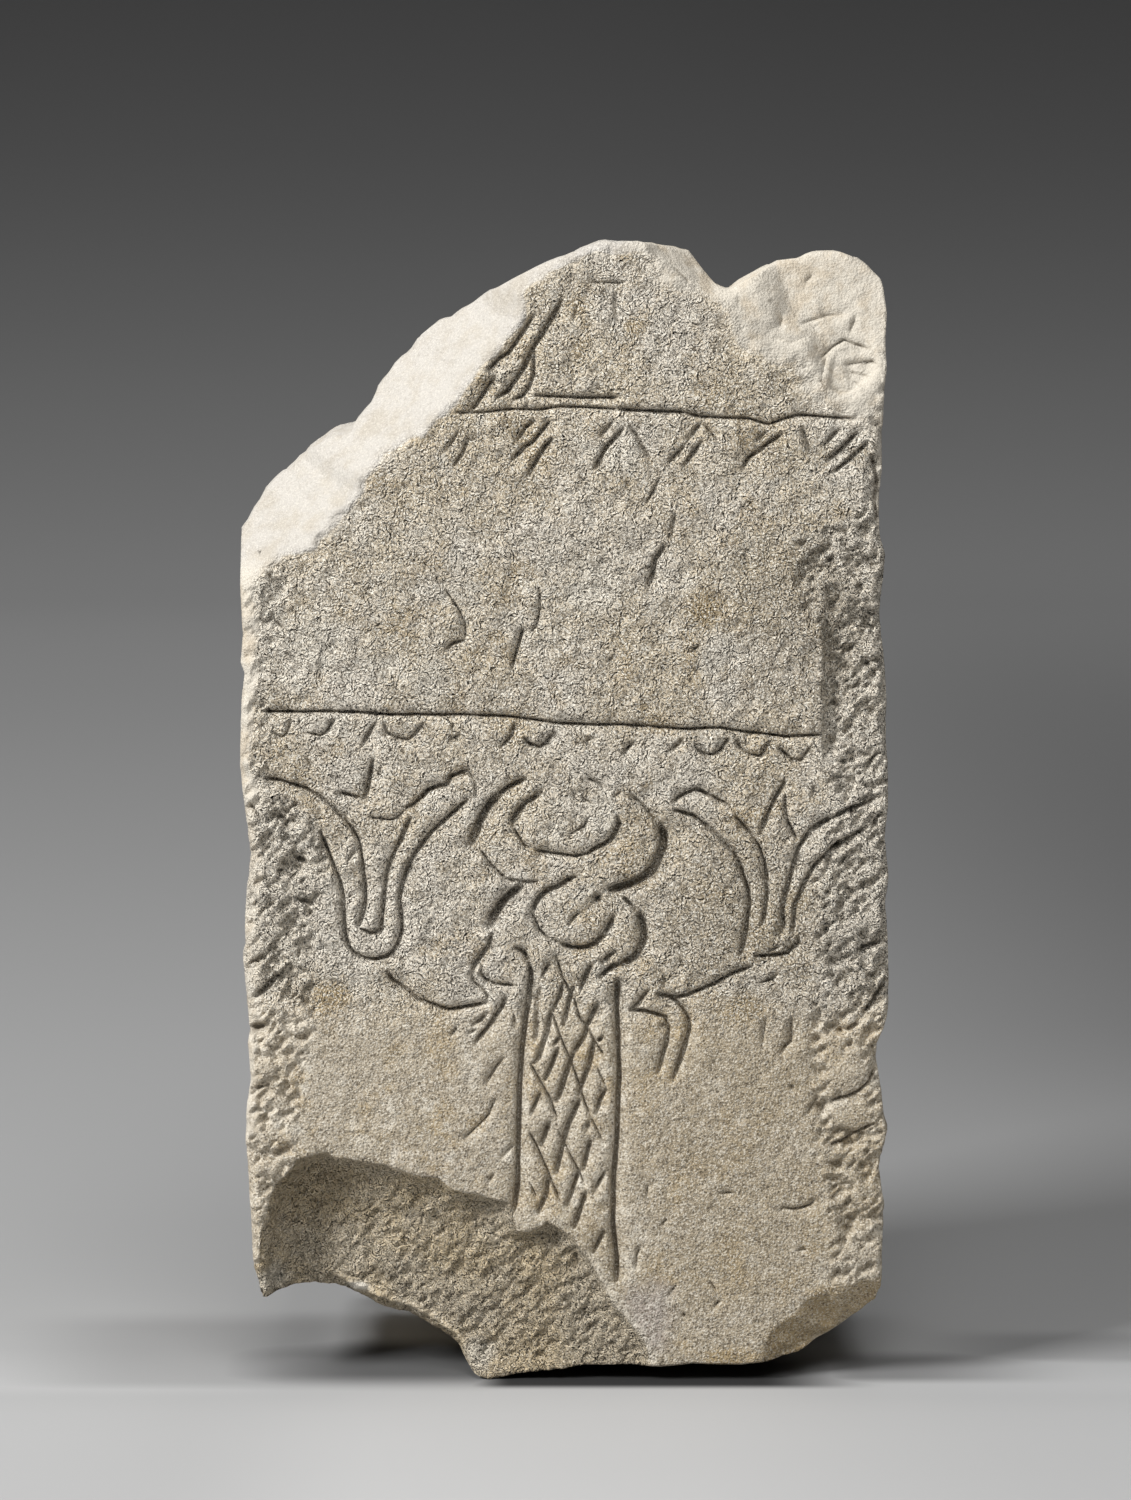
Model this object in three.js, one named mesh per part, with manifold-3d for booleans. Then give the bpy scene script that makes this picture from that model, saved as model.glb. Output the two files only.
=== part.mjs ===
// Votive stele: one block of limestone with a broken gable, flowers and crescents cut into its front,
// rough side bands and a broken lower left corner. Millimetres, +Z up, front towards -Y, origin in
// the middle of the plane that the block stands on.
import * as THREE from 'three';
import { mergeVertices } from 'three/addons/utils/BufferGeometryUtils.js';
import { ConvexGeometry } from 'three/addons/geometries/ConvexGeometry.js';
import Module from 'manifold-3d';

// Overall sizes of the block
const WIDTH = 166;
const HEIGHT = 293.9;
const THICKNESS = 70;

// Heights of the two long lines that divide the face into registers
const PANEL_LINE_HEIGHT = 174;
const GABLE_LINE_HEIGHT = 252;

// Tool cuts: width at the face and depth
const LINE_WIDTH = 1.2;
const LINE_DEPTH = 0.8;
const CONTOUR_WIDTH = 1.5;
const CONTOUR_DEPTH = 1.1;
const CRESCENT_WIDTH = 2.2;
const CRESCENT_DEPTH = 1.5;
const COLUMN_WIDTH = 2.6;
const COLUMN_DEPTH = 1.6;
const STROKE_WIDTH = 1.3;
const STROKE_DEPTH = 0.9;
const LOZENGE_WIDTH = 2.4;
const LOZENGE_DEPTH = 1.2;
const CUT_FLOOR_SHARE = 0.25;
const CUT_STEP = 3;
const PROUD = 1;

// Damage, as depths behind the face unless said otherwise
const BAND_WIDTH = 16;
const BAND_FALL = 3.5;
const BAND_RUN_OUT = 14;
const HOLLOW_DEPTH = 3.5;
const SCOOP_RADIUS = 39;
const SCOOP_DEPTH = 11;
const SPALL_FALL = 13;
const NOTCH_FALL = 12;
const CORNER_FALL = 14;
const FOOT_RISE = 4;
const FOOT_SET_BACK = 32;
const BACK_CHAMFER = 6;

// The face is drawn below at this width, middle and set of register heights, and place() fits a drawn
// point to the block's own sizes
const DRAWN_WIDTH = 166;
const DRAWN_MIDDLE = 0.6;
const DRAWN_HEIGHTS = [0, 174, 252, 293.9];
const REGISTER_HEIGHTS = [0, PANEL_LINE_HEIGHT, GABLE_LINE_HEIGHT, HEIGHT];

const FRONT = -THICKNESS / 2;
const BACK = THICKNESS / 2;
const RIGHT = WIDTH / 2;

// Outline from the right end of the foot, up the right side, over the knob, the notch and the stump
const RIGHT_SIDE = [
  [47, 0], [60.5, 7.6], [71.5, 13.4], [78, 18.2], [82, 23.9], [82.8, 46.8], [81.4, 57], [83.4, 66.4],
  [80.6, 86.5], [83.2, 97], [83.6, 104], [82.8, 135], [82.1, 146], [82.8, 158], [82, 186],
  [80.2, 204], [81.5, 213], [79.6, 222], [80.2, 244], [81.2, 262], [81.4, 274],
];
const CREST_LINE = [
  [81.1, 280], [78.6, 285.4], [74.5, 289.2], [69.5, 290.9], [60.5, 289.6], [53.5, 288.2],
  [45.5, 283.5], [41.9, 281.4], [39.5, 282.4], [35.5, 286.2], [31.5, 291], [26.5, 292.2],
  [19.5, 293.7], [10.5, 293.9],
];
// Outline down the left side and along the broken underside to the foot
const LEFT_SIDE = [
  [-81.9, 192], [-82.4, 166], [-80.2, 141], [-82.2, 112], [-80.8, 92], [-81.9, 66], [-80.9, 46],
  [-79.6, 30], [-78, 21.4],
];
const UNDERSIDE = [[-67, 23.2], [-57, 21.4], [-43, 16], [-32, 10.8], [-25.5, 4.4], [-20.5, 0]];
const FOOT_TIP = [-20, 0];

// The break across the upper left, from the lower left to the top. Each station has the edge that it
// leaves on the face, the crest behind it and the depth at which the crest lies.
const BREAK = [
  { edge: [-79, 199], crest: [-82, 221], depth: 8 },
  { edge: [-70, 213], crest: [-71, 234.5], depth: 20 },
  { edge: [-58, 222], crest: [-54.5, 245], depth: 30 },
  { edge: [-46, 236.5], crest: [-45, 260], depth: 30 },
  { edge: [-32, 248], crest: [-32.5, 272.5], depth: 30 },
  { edge: [-19, 262.5], crest: [-17.5, 281.8], depth: 28 },
  { edge: [-6, 281.5], crest: [-4.5, 288.2], depth: 20 },
  { edge: [5.5, 290.4], crest: [6, 292.6], depth: 8 },
];
// How far a hull for the break reaches out of the block to the left, and upwards as the gable is drawn
const BREAK_REACH = 30;
const GABLE_STRETCH = (HEIGHT - GABLE_LINE_HEIGHT) / (DRAWN_HEIGHTS[3] - DRAWN_HEIGHTS[2]);

// Rim of the hollow at the lower left, and the middle of its deepest part
const HOLLOW_RIM = [
  [-78, 40], [-75, 51], [-69, 59.5], [-60.5, 60.5], [-47, 57.6], [-31, 53.6], [-22, 49.8],
  [-13.5, 46], [-10, 40], [-3, 42], [2.5, 38.4], [8.5, 29.9], [12.3, 22.4], [18.5, 14.8],
  [22.6, 7], [23.5, -4], [-90, -4], [-90, 30],
];
const SCOOP_CENTRE = [-69, 33];

const wasm = await Module();
wasm.setup();

function place([x, z]) {
  const above = DRAWN_HEIGHTS.findIndex((height) => height >= z);
  const top = above < 0 ? DRAWN_HEIGHTS.length - 1 : Math.max(above, 1);
  const [drawnLow, drawnHigh] = DRAWN_HEIGHTS.slice(top - 1, top + 1);
  const [low, high] = REGISTER_HEIGHTS.slice(top - 1, top + 1);
  return [
    ((x - DRAWN_MIDDLE) * WIDTH) / DRAWN_WIDTH,
    THREE.MathUtils.mapLinear(z, drawnLow, drawnHigh, low, high),
  ];
}

// The point behind a drawn point of the face, at a depth
function behind(point, depth) {
  const [x, z] = place(point);
  return [x, FRONT + depth, z];
}

function toSolid(geometry) {
  const bare = geometry.clone();
  bare.deleteAttribute('normal');
  bare.deleteAttribute('uv');
  const merged = mergeVertices(bare, 1e-4);
  const vertProperties = new Float32Array(merged.attributes.position.array);
  const triVerts = new Uint32Array(merged.index.array);
  return new wasm.Manifold(new wasm.Mesh({ numProp: 3, vertProperties, triVerts }));
}

function toGeometry(solid) {
  const mesh = solid.getMesh();
  const geometry = new THREE.BufferGeometry();
  geometry.setAttribute('position', new THREE.BufferAttribute(mesh.vertProperties.slice(), 3));
  geometry.setIndex(new THREE.BufferAttribute(mesh.triVerts.slice(), 1));
  geometry.computeVertexNormals();
  return geometry;
}

function hull(corners) {
  return toSolid(new ConvexGeometry(corners.map((corner) => new THREE.Vector3(...corner))));
}

// A drawn outline carried from one depth to another
function plate(outline, fromDepth, toDepth) {
  const shape = new THREE.Shape(outline.map((point) => new THREE.Vector2(...place(point))));
  const depth = toDepth - fromDepth;
  const geometry = new THREE.ExtrudeGeometry(shape, { depth, bevelEnabled: false });
  return toSolid(geometry.rotateX(Math.PI / 2).translate(0, FRONT + toDepth, 0));
}

// The block before it was carved: its outline seen from the front, with the full thickness
function rawBlock() {
  const broken = BREAK.map(({ crest }) => crest).reverse();
  return plate([...RIGHT_SIDE, ...CREST_LINE, ...broken, ...LEFT_SIDE, ...UNDERSIDE], 0, THICKNESS);
}

// What broke away at the upper left, as one hull between each two stations
function breakCuts() {
  const stations = BREAK.map(({ edge, crest, depth }) => {
    const front = behind(edge, 0);
    const rear = behind(crest, depth);
    const lead = PROUD / depth;
    const lip = front.map((value, i) => value + (value - rear[i]) * lead);
    const rise = BREAK_REACH * GABLE_STRETCH;
    return [lip, rear, ...[lip, rear].map(([x, y, z]) => [x - BREAK_REACH, y, z + rise])];
  });
  return stations.slice(1).map((station, i) => hull([...stations[i], ...station]));
}

// The sloping spall that took the face off the knob, and the facet beside the notch
function topCuts() {
  const spall = hull([
    behind([47, 265], -PROUD), behind([86, 265], -PROUD), behind([47, 297], -PROUD),
    behind([86, 297], -PROUD), behind([47, 297], SPALL_FALL), behind([86, 297], SPALL_FALL),
  ]);
  const facet = hull([
    behind([20.5, 293], 0), behind([36.5, 277], -PROUD), behind([47, 273], -PROUD),
    behind([20.5, 297], -PROUD), behind([47, 297], -PROUD), behind([32, 292], NOTCH_FALL),
    behind([47, 281], NOTCH_FALL), behind([47, 297], NOTCH_FALL),
  ]);
  return [spall, facet];
}

// A rough band that falls away from the face towards one side; side is -1 at the left, 1 at the right
function bandCut(side, lowest, highest) {
  const inner = side * (WIDTH / 2 - BAND_WIDTH);
  const outer = side * (WIDTH / 2 + BAND_WIDTH);
  const [low, high] = [lowest, highest].map((z) => place([0, z])[1]);
  return hull([
    ...[low, high].flatMap((z) => [[inner, FRONT, z], [outer, FRONT - PROUD, z], [outer, FRONT, z]]),
    [inner, FRONT - PROUD, (low + high) / 2],
    [outer, FRONT + 2 * BAND_FALL, low + BAND_RUN_OUT],
    [outer, FRONT + 2 * BAND_FALL, high - BAND_RUN_OUT],
  ]);
}

// The recessed break at the lower left: a shallow pocket with a deeper scoop at its left
function hollowCuts() {
  const [x, z] = place(SCOOP_CENTRE);
  const scoop = new THREE.SphereGeometry(1, 24, 16);
  scoop.scale(SCOOP_RADIUS, SCOOP_DEPTH, SCOOP_RADIUS).translate(x, FRONT, z);
  const area = plate(HOLLOW_RIM, -PROUD, SCOOP_DEPTH + PROUD);
  return [plate(HOLLOW_RIM, -PROUD, HOLLOW_DEPTH), toSolid(scoop).intersect(area)];
}

// The lost corner at the lower right and the raised front edge of the foot
function footCuts() {
  const corner = hull([
    behind([54, 13.5], 0), behind([62.5, 20.5], -PROUD), behind([76, 26.5], -PROUD),
    behind([90, 29], -PROUD), behind([86, 22], CORNER_FALL), behind([59, 5], CORNER_FALL / 2),
    behind([54, -4], -PROUD), behind([90, -4], -PROUD), behind([90, -4], CORNER_FALL),
    behind([59, -4], CORNER_FALL / 2),
  ]);
  const [tip] = place(FOOT_TIP);
  const full = tip + FOOT_SET_BACK;
  const under = [0, -PROUD * 2];
  const raised = hull([
    ...under.flatMap((z) => [
      [tip, FRONT - PROUD, z], [full, FRONT + FOOT_SET_BACK, z], [RIGHT, FRONT + FOOT_SET_BACK, z],
    ]),
    [full, FRONT - PROUD, FOOT_RISE], [RIGHT, FRONT - PROUD, FOOT_RISE],
    [RIGHT, FRONT - PROUD, -PROUD * 2],
  ]);
  return [corner, raised];
}

// Worn arrises along both sides of the back and across its top
function backCuts() {
  const reach = WIDTH / 2 + BACK_CHAMFER;
  const sides = [-1, 1].map((side) => hull([-PROUD, HEIGHT + PROUD].flatMap((z) => [
    [side * (WIDTH / 2 - BACK_CHAMFER), BACK + PROUD, z],
    [side * reach, BACK - BACK_CHAMFER * 2, z],
    [side * reach, BACK + PROUD, z],
  ])));
  const top = hull([-reach, reach].flatMap((x) => [
    [x, BACK + PROUD, HEIGHT - BACK_CHAMFER * 2],
    [x, BACK - BACK_CHAMFER, HEIGHT + PROUD],
    [x, BACK + PROUD, HEIGHT + PROUD],
  ]));
  return [...sides, top];
}

// A tool cut swept along a smooth curve through drawn points, with a narrow flat floor
function groove(points, width, depth) {
  const path = new THREE.CatmullRomCurve3(points.map((point) => new THREE.Vector3(...behind(point, 0))));
  const floor = (width / 2) * CUT_FLOOR_SHARE;
  const lip = width / 2 + ((width / 2 - floor) * PROUD) / depth;
  const section = new THREE.Shape([
    new THREE.Vector2(-depth, -floor), new THREE.Vector2(PROUD, -lip),
    new THREE.Vector2(PROUD, lip), new THREE.Vector2(-depth, floor),
  ]);
  const steps = Math.max(1, Math.round(path.getLength() / CUT_STEP));
  const options = { extrudePath: path, steps, bevelEnabled: false };
  return toSolid(new THREE.ExtrudeGeometry(section, options));
}

// A chisel stroke: deepest in the middle, running out to a point at both ends
function stroke(start, end, width, depth) {
  const [[ax, az], [bx, bz]] = [place(start), place(end)];
  const along = new THREE.Vector2(bx - ax, bz - az);
  const across = new THREE.Vector2(-along.y, along.x).setLength(width / 2);
  const [mx, mz] = [(ax + bx) / 2, (az + bz) / 2];
  const rim = [[ax, az], [bx, bz], [mx + across.x, mz + across.y], [mx - across.x, mz - across.y]];
  const keel = [-0.15, 0.15].map((t) => [mx + along.x * t, FRONT + depth, mz + along.y * t]);
  return hull([...rim.flatMap(([x, z]) => [[x, FRONT, z], [x, FRONT - PROUD, z]]), ...keel]);
}

const grooves = (paths, width, depth) => paths.map((points) => groove(points, width, depth));
const strokes = (ends, width, depth) =>
  ends.map(([ax, az, bx, bz]) => stroke([ax, az], [bx, bz], width, depth));

// The gable with its frame, the long line under it and the hatching of the frieze
function gableCuts() {
  const lines = grooves([
    [[-26, 251], [-16, 251.6], [0, 252.6], [14, 251.9], [30, 251.1], [44, 249.8], [51, 248.3],
      [57.5, 250.2], [64, 250], [73.2, 249.7]],
    [[-6, 255.4], [4, 254.9], [14.5, 254.8]],
    [[-0.5, 278.9], [-5.5, 270.6], [-11, 260.5], [-15.5, 255.2]],
    [[-9.6, 271.8], [-14.3, 265.5], [-18.6, 261.4]],
    [[-17.4, 259.9], [-21, 254.2], [-24.4, 251]],
    [[-7.5, 265.5], [-7.5, 261], [-9, 255.8]],
  ], LINE_WIDTH, LINE_DEPTH);
  const hatching = strokes([
    [-24.3, 244.3, -27.4, 237.7], [-25.5, 248.6, -30.5, 240.5], [-7.4, 248.9, -12.1, 244.3],
    [-3.9, 248.6, -13, 238.9], [-2.7, 244.3, -8.9, 235.5], [12.9, 249.3, 9.4, 244.9],
    [14.8, 246.8, 8.8, 239.3], [34.8, 248.6, 31.3, 243.6], [29.8, 242.7, 26.3, 238.3],
    [34.8, 243.9, 30.7, 237.4], [56.3, 245.8, 44.1, 237.1], [69.4, 246.4, 66.3, 243],
    [74.1, 246.1, 66.3, 238.6], [76.3, 243.3, 68.2, 236.4],
  ], STROKE_WIDTH, STROKE_DEPTH);
  return [...lines, ...hatching];
}

// The long line over the symbols and the row of small hanging arcs under it
function panelLineCuts() {
  const lines = grooves([
    [[-76, 175.4], [-58, 175.5], [-41, 174.4], [-30, 174.9], [-13, 173.9], [0, 172.5],
      [11.6, 172.4], [27, 170.8], [39.8, 171.1], [49, 170], [65.4, 169]],
    [[-73.3, 169.9], [-71.6, 168.8], [-69.9, 170.8], [-69.3, 173]],
    [[-64.6, 169.6], [-62, 169.1], [-59.8, 171], [-58.3, 173.3]],
    [[-45.5, 172.1], [-43.4, 169.2], [-39.6, 168], [-35.8, 172.1]],
    [[-28.9, 168], [-27, 168.8], [-25.5, 169.6]],
    [[-9.9, 168.6], [-8, 166.8], [-5.5, 166.1], [-2.1, 169.9]],
    [[26.3, 164.9], [28.5, 166.1], [30.4, 168.3]],
    [[31.9, 167.7], [36.6, 164.1], [41.9, 168.3]],
    [[44.1, 167.7], [49, 164.4], [52.3, 167.1]],
    [[54.8, 165.5], [59, 163], [62.6, 165.8]],
  ], LINE_WIDTH, LINE_DEPTH);
  const ticks = strokes([
    [-47.4, 172.7, -51.1, 166.4], [-12.1, 172.7, -15.8, 165.8], [18.5, 169.3, 16, 165.5],
  ], STROKE_WIDTH, STROKE_DEPTH);
  return [...lines, ...ticks];
}

// The two open flowers on their stems
function flowerCuts() {
  return grooves([
    [[-74.3, 157.9], [-66.5, 155.8], [-60.5, 152.4], [-54.3, 146.1], [-51, 139], [-50.3, 129.3],
      [-51.9, 119.3]],
    [[-59.9, 138], [-57, 132.4], [-55.8, 121], [-54.6, 114], [-48, 111.4], [-42.7, 114.3],
      [-41.3, 120.5], [-41.6, 128], [-39.3, 136.1], [-34.3, 143.3], [-24.3, 152.7]],
    [[-39.6, 150.5], [-34.9, 154.3], [-29.9, 156.1], [-26.8, 159.9], [-23, 159.3]],
    [[-39.6, 148], [-42.4, 141.1], [-45.2, 134.3], [-45.8, 124.9], [-47.4, 118], [-50.5, 118.4]],
    [[-48.6, 162.4], [-49.9, 156.1], [-50.6, 152.7]],
    [[-45.5, 109.9], [-40.5, 104.3], [-34.9, 99.9], [-29.9, 97.9], [-19.9, 100.2]],
    [[28.8, 152.1], [34.8, 155.4], [42.6, 150.8], [49.8, 141.1], [51.8, 130.5], [51, 120.5]],
    [[28.8, 149.9], [36, 145.8], [42.3, 140.5], [46.9, 129.9], [46.9, 121.8], [45.7, 112.7]],
    [[79.4, 153.3], [71, 149.6], [64.8, 146.8], [60.4, 141.1], [56.6, 127.4], [56.6, 119.9]],
    [[77.6, 145.8], [71, 142.1], [64.8, 136.8], [60.7, 129.9], [58.8, 120.5]],
    [[56.1, 157.1], [52.9, 150.5], [50.4, 144.3]],
    [[56.3, 153], [57.3, 146.1], [59.8, 142.7]],
    [[60.1, 115.5], [56, 112.7], [49.1, 111.8]],
    [[47.9, 109.8], [37.3, 104.6], [30.1, 101.4], [24.4, 102.4]],
  ], CONTOUR_WIDTH, CONTOUR_DEPTH);
}

// Two crescents, one over the other, each with an inner one
function crescentCuts() {
  const deep = grooves([
    [[-9.9, 157.7], [-16.1, 153.9], [-20.5, 148], [-23, 142.1]],
    [[19.8, 153], [24.1, 147.4], [25.7, 141.1], [22.3, 134.3], [11.9, 129.4]],
    [[-11.1, 129.9], [-16.1, 124.9], [-18.3, 119]],
    [[15.4, 127.1], [20.4, 122.4], [20.4, 116.1], [16, 110.2], [10.7, 109.3]],
  ], CRESCENT_WIDTH, CRESCENT_DEPTH);
  const fine = grooves([
    [[-21.4, 139.9], [-17.4, 134.9], [-13, 131.4]],
    [[-6.1, 154.6], [-13, 147.4], [-8, 139.8], [3.5, 138.3], [12.6, 143.3], [13.5, 147.4]],
    [[2, 130.8], [-4.3, 129.3], [-8, 123.6], [-5.5, 118], [3.5, 114.1], [9.1, 117.1], [12.4, 122.4]],
  ], CONTOUR_WIDTH, CONTOUR_DEPTH);
  return [...deep, ...fine];
}

// The column with its scrolls and its lattice of lozenges
function columnCuts() {
  const sides = grooves([
    [[-8.9, 111], [-8.6, 100], [-10.2, 91.8], [-11.3, 80], [-11.6, 62], [-12.7, 44]],
    [[13.5, 106], [13.6, 93], [14.2, 79.3], [13.4, 62], [12.7, 45], [13, 28]],
  ], COLUMN_WIDTH, COLUMN_DEPTH);
  const scrolls = grooves([
    [[-18.3, 116.1], [-23, 109.9], [-21.8, 105.2], [-18.9, 100.5], [-22.5, 95]],
    [[-14.9, 102.4], [-16, 97.5], [-22.4, 89.6]],
    [[24.4, 102], [31, 99.3], [32.1, 93], [28.2, 80.2]],
    [[18.2, 98.3], [25, 96.8], [27.1, 91.8], [24.4, 82.4]],
  ], CONTOUR_WIDTH, CONTOUR_DEPTH);
  const lattice = strokes([
    [-3, 110.5, -6, 106], [0, 105.5, -3.3, 96.5], [4, 103.5, -0.6, 91.5], [6.8, 110.5, 2.8, 102.5],
    [9, 100, 2.8, 86.5], [-3, 97.5, -7, 83.5], [-0.3, 90.5, -3.8, 79.8], [4.2, 91, -1.4, 74.8],
    [8.1, 88, 1.4, 71], [-5.6, 76.5, -8.3, 70.3], [-2.8, 71, -6.1, 61.5], [4.2, 74, -1.4, 55.5],
    [10.9, 77.5, 8, 69.3], [6.8, 64, 4.6, 56], [10.4, 57, 7.2, 49], [4.6, 54, 0, 44],
    [0, 52, -4, 41], [8.2, 49, 3.4, 38], [11, 41, 7.4, 32],
  ], LOZENGE_WIDTH, LOZENGE_DEPTH);
  return [...sides, ...scrolls, ...lattice];
}

function steleBlock() {
  const cuts = [
    ...breakCuts(), ...topCuts(), bandCut(-1, 24, 214), bandCut(1, 22, 236), ...hollowCuts(),
    ...footCuts(), ...backCuts(), ...gableCuts(), ...panelLineCuts(), ...flowerCuts(),
    ...crescentCuts(), ...columnCuts(),
  ];
  return cuts.reduce((solid, cut) => solid.subtract(cut), rawBlock());
}

const limestone = new THREE.MeshStandardMaterial({
  color: 0xb4a992, roughness: 0.93, metalness: 0, flatShading: true,
});
const block = new THREE.Mesh(toGeometry(steleBlock()), limestone);
block.name = 'stele_block';

const group = new THREE.Group();
group.add(block);
export default group;
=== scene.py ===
import math

import bpy
import numpy as np
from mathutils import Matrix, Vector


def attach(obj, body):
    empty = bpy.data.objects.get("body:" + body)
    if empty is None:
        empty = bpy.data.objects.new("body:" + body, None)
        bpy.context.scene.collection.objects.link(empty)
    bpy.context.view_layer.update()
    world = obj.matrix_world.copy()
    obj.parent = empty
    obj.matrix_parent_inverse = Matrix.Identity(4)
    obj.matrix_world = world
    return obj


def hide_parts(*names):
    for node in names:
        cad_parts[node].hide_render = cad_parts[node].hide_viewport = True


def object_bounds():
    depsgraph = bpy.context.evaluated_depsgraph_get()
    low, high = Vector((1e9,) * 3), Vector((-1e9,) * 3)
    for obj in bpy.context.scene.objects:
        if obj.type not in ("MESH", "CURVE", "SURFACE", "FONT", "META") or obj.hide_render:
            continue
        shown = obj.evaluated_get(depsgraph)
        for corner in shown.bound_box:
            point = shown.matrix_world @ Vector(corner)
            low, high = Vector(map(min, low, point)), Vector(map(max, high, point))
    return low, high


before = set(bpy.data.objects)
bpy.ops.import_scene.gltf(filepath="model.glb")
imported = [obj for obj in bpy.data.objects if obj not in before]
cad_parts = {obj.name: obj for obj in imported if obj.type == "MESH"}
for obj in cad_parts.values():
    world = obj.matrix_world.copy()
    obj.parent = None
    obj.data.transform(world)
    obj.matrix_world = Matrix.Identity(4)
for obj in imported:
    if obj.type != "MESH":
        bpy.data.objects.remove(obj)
cad_low, cad_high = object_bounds()

# The stele is drawn in millimetres as its face is seen: x to the right, z up from the floor. The
# drawing's middle line lies a little to the right of its zero.
MM = 0.001
DRAWN_MIDDLE = 0.6
FACE_Y = cad_low.y / MM
BACK_Y = cad_high.y / MM

# Grid over the face, and the coarser one over the back. The rings of the sides lie between the face
# at 0 and the back at 1. The points of the rim are about RIM_STEP millimetres apart, and its
# direction is taken over RIM_REACH of them to each side.
COLUMNS = 448
ROWS = 784
COARSE = 4
BACK_GRID = (COLUMNS // COARSE, ROWS // COARSE)
WALL_SHARES = [0.01, 0.025, *np.linspace(0.05, 0.97, 34), 0.985]
RIM_STEP = 0.45
RIM_REACH = 9
KEPT_TRIANGLES = 196000

# The damage: depths and heights in millimetres, and slopes in millimetres for each millimetre
SKIN_DEPTH = 0.35
BREAK_SLOPE = 1.5
BREAK_DEPTH = 31
BREAK_EASE = 3
SPALL_SLOPE = 0.3
SPALL_FOOT = 255
VALLEY_DEPTH = 0.7
FLAKE_DEPTH = 1.1
STEP_DEPTH = 2.4
CORNER_SLOPE = 0.62
ARRIS_RADIUS = 2.2
BACK_ARRIS = 6
FOOT_RISE = 4

# How far the back's outline is pulled in at the top and at the sides
TOP_PULL = 2.2
SIDE_PULL = 1.4

# Heights between which the worn upper face gives way to the smooth lower one
SMOOTH_BELOW = (88, 106)

# How much wider and deeper a cut comes out than it is listed, and the way that its gentle side
# leans across the face
CUT_WIDER = 0.95
CUT_EXTRA_WIDTH = 0.22
CUT_EXTRA_DEPTH = 0.3
CUT_DEEPER = 1.55
LEAN = (0.76, -0.65)

# Outline of the face. The left and right edges run upwards, the lower and upper ones to the right.
LEFT_EDGE = [
    (-78, 21.3), (-78.6, 23), (-79.1, 26.1), (-80.2, 29.9), (-80.6, 34.3), (-80.8, 42.4),
    (-81.3, 54.3), (-81.9, 64), (-81.6, 72.4), (-80.5, 79.3), (-81.1, 88.6), (-80.6, 92.4),
    (-81.3, 99.3), (-82.2, 111.5), (-81.4, 115), (-81.6, 121.8), (-80.8, 130.5), (-79.9, 138),
    (-80.6, 145.5), (-81.6, 153), (-82.4, 160.5), (-82.1, 169.9), (-81.8, 178), (-80.9, 184.9),
    (-81.9, 187.4), (-81.3, 194.9), (-81.8, 205.5), (-81.9, 213), (-82.1, 220.5),
]
RIGHT_EDGE = [
    (81, 21.1), (82.1, 23.9), (82.6, 28), (82.4, 33), (83, 46.8), (82.3, 50.5), (81.3, 56.8),
    (82.6, 62.4), (83.5, 66.8), (82.6, 69.3), (81.8, 77.4), (80.5, 84.9), (80.5, 89.3), (82.3, 93.3),
    (83.5, 98), (83.6, 103), (83.2, 116), (82.4, 125.5), (83.1, 133), (82.1, 143), (82.8, 151.1),
    (82.6, 162.4), (82.1, 168.6), (82.3, 175.5), (81.9, 184.9), (81, 192.4), (80.1, 200.5),
    (80.9, 208.6), (81.5, 214.9), (79.9, 220.2), (79.6, 228), (80.4, 236.4), (80.3, 246),
    (80.7, 255.5), (81.3, 261.8), (81.1, 268.6), (81.5, 276), (80.7, 282.1), (80.1, 284.1),
]
UPPER_EDGE = [
    (-82.1, 220.5), (-81.9, 221.6), (-80.2, 222.7), (-78.9, 226.1), (-77.1, 228), (-76.8, 229.6),
    (-73.9, 232.8), (-72.4, 234.2), (-69.9, 235), (-68.3, 237.7), (-64.6, 240.5), (-60.5, 243.3),
    (-58.3, 244.4), (-56.1, 244.4), (-53.9, 245.2), (-52.9, 248), (-50.5, 250.4), (-48.3, 253.3),
    (-47.7, 255.8), (-45.2, 259.3), (-43, 262.3), (-41.1, 264.3), (-39.3, 265.2), (-36.4, 269.6),
    (-34.6, 271.1), (-30.8, 273.6), (-28.6, 273.9), (-26.1, 276.1), (-22.7, 278), (-18.6, 281),
    (-14.3, 283.3), (-9.9, 285.8), (-6.8, 287.4), (0, 290), (5.4, 292.4), (9.4, 293.8), (11, 293.9),
    (12.9, 293.5), (18.5, 293.9), (23.5, 292.7), (28.5, 291.9), (30, 291.2), (31.5, 291.5),
    (32.3, 290.5), (35.4, 286.4), (38.2, 283.1), (40, 282.1), (41.8, 281.4), (44.8, 283.3),
    (49.8, 286.1), (54.4, 288.8), (59.8, 289.4), (63.5, 290.8), (69.8, 291), (74.1, 289.4),
    (76.3, 287.9), (79.1, 285.2), (80.1, 284.1),
]
LOWER_EDGE = [
    (-78, 21.3), (-73, 22.2), (-69.3, 22.9), (-64.9, 23.1), (-58.6, 22.1), (-53.3, 19.9),
    (-47.4, 17.1), (-40.5, 15.5), (-36.1, 13.3), (-31.8, 10.8), (-27.7, 8), (-25.5, 4.3),
    (-23, 1.4), (-20.8, 0.5), (-19.3, 0), (-13, 1.4), (-6.8, 2.3), (0, 3), (4, 3.9), (16.6, 4.3),
    (25.4, 3.8), (33.5, 4.6), (46, 4.3), (54.1, 5.2), (61, 6.8), (66.6, 10.2), (72.9, 13.9),
    (78.5, 18.6), (81, 21.1),
]

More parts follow.
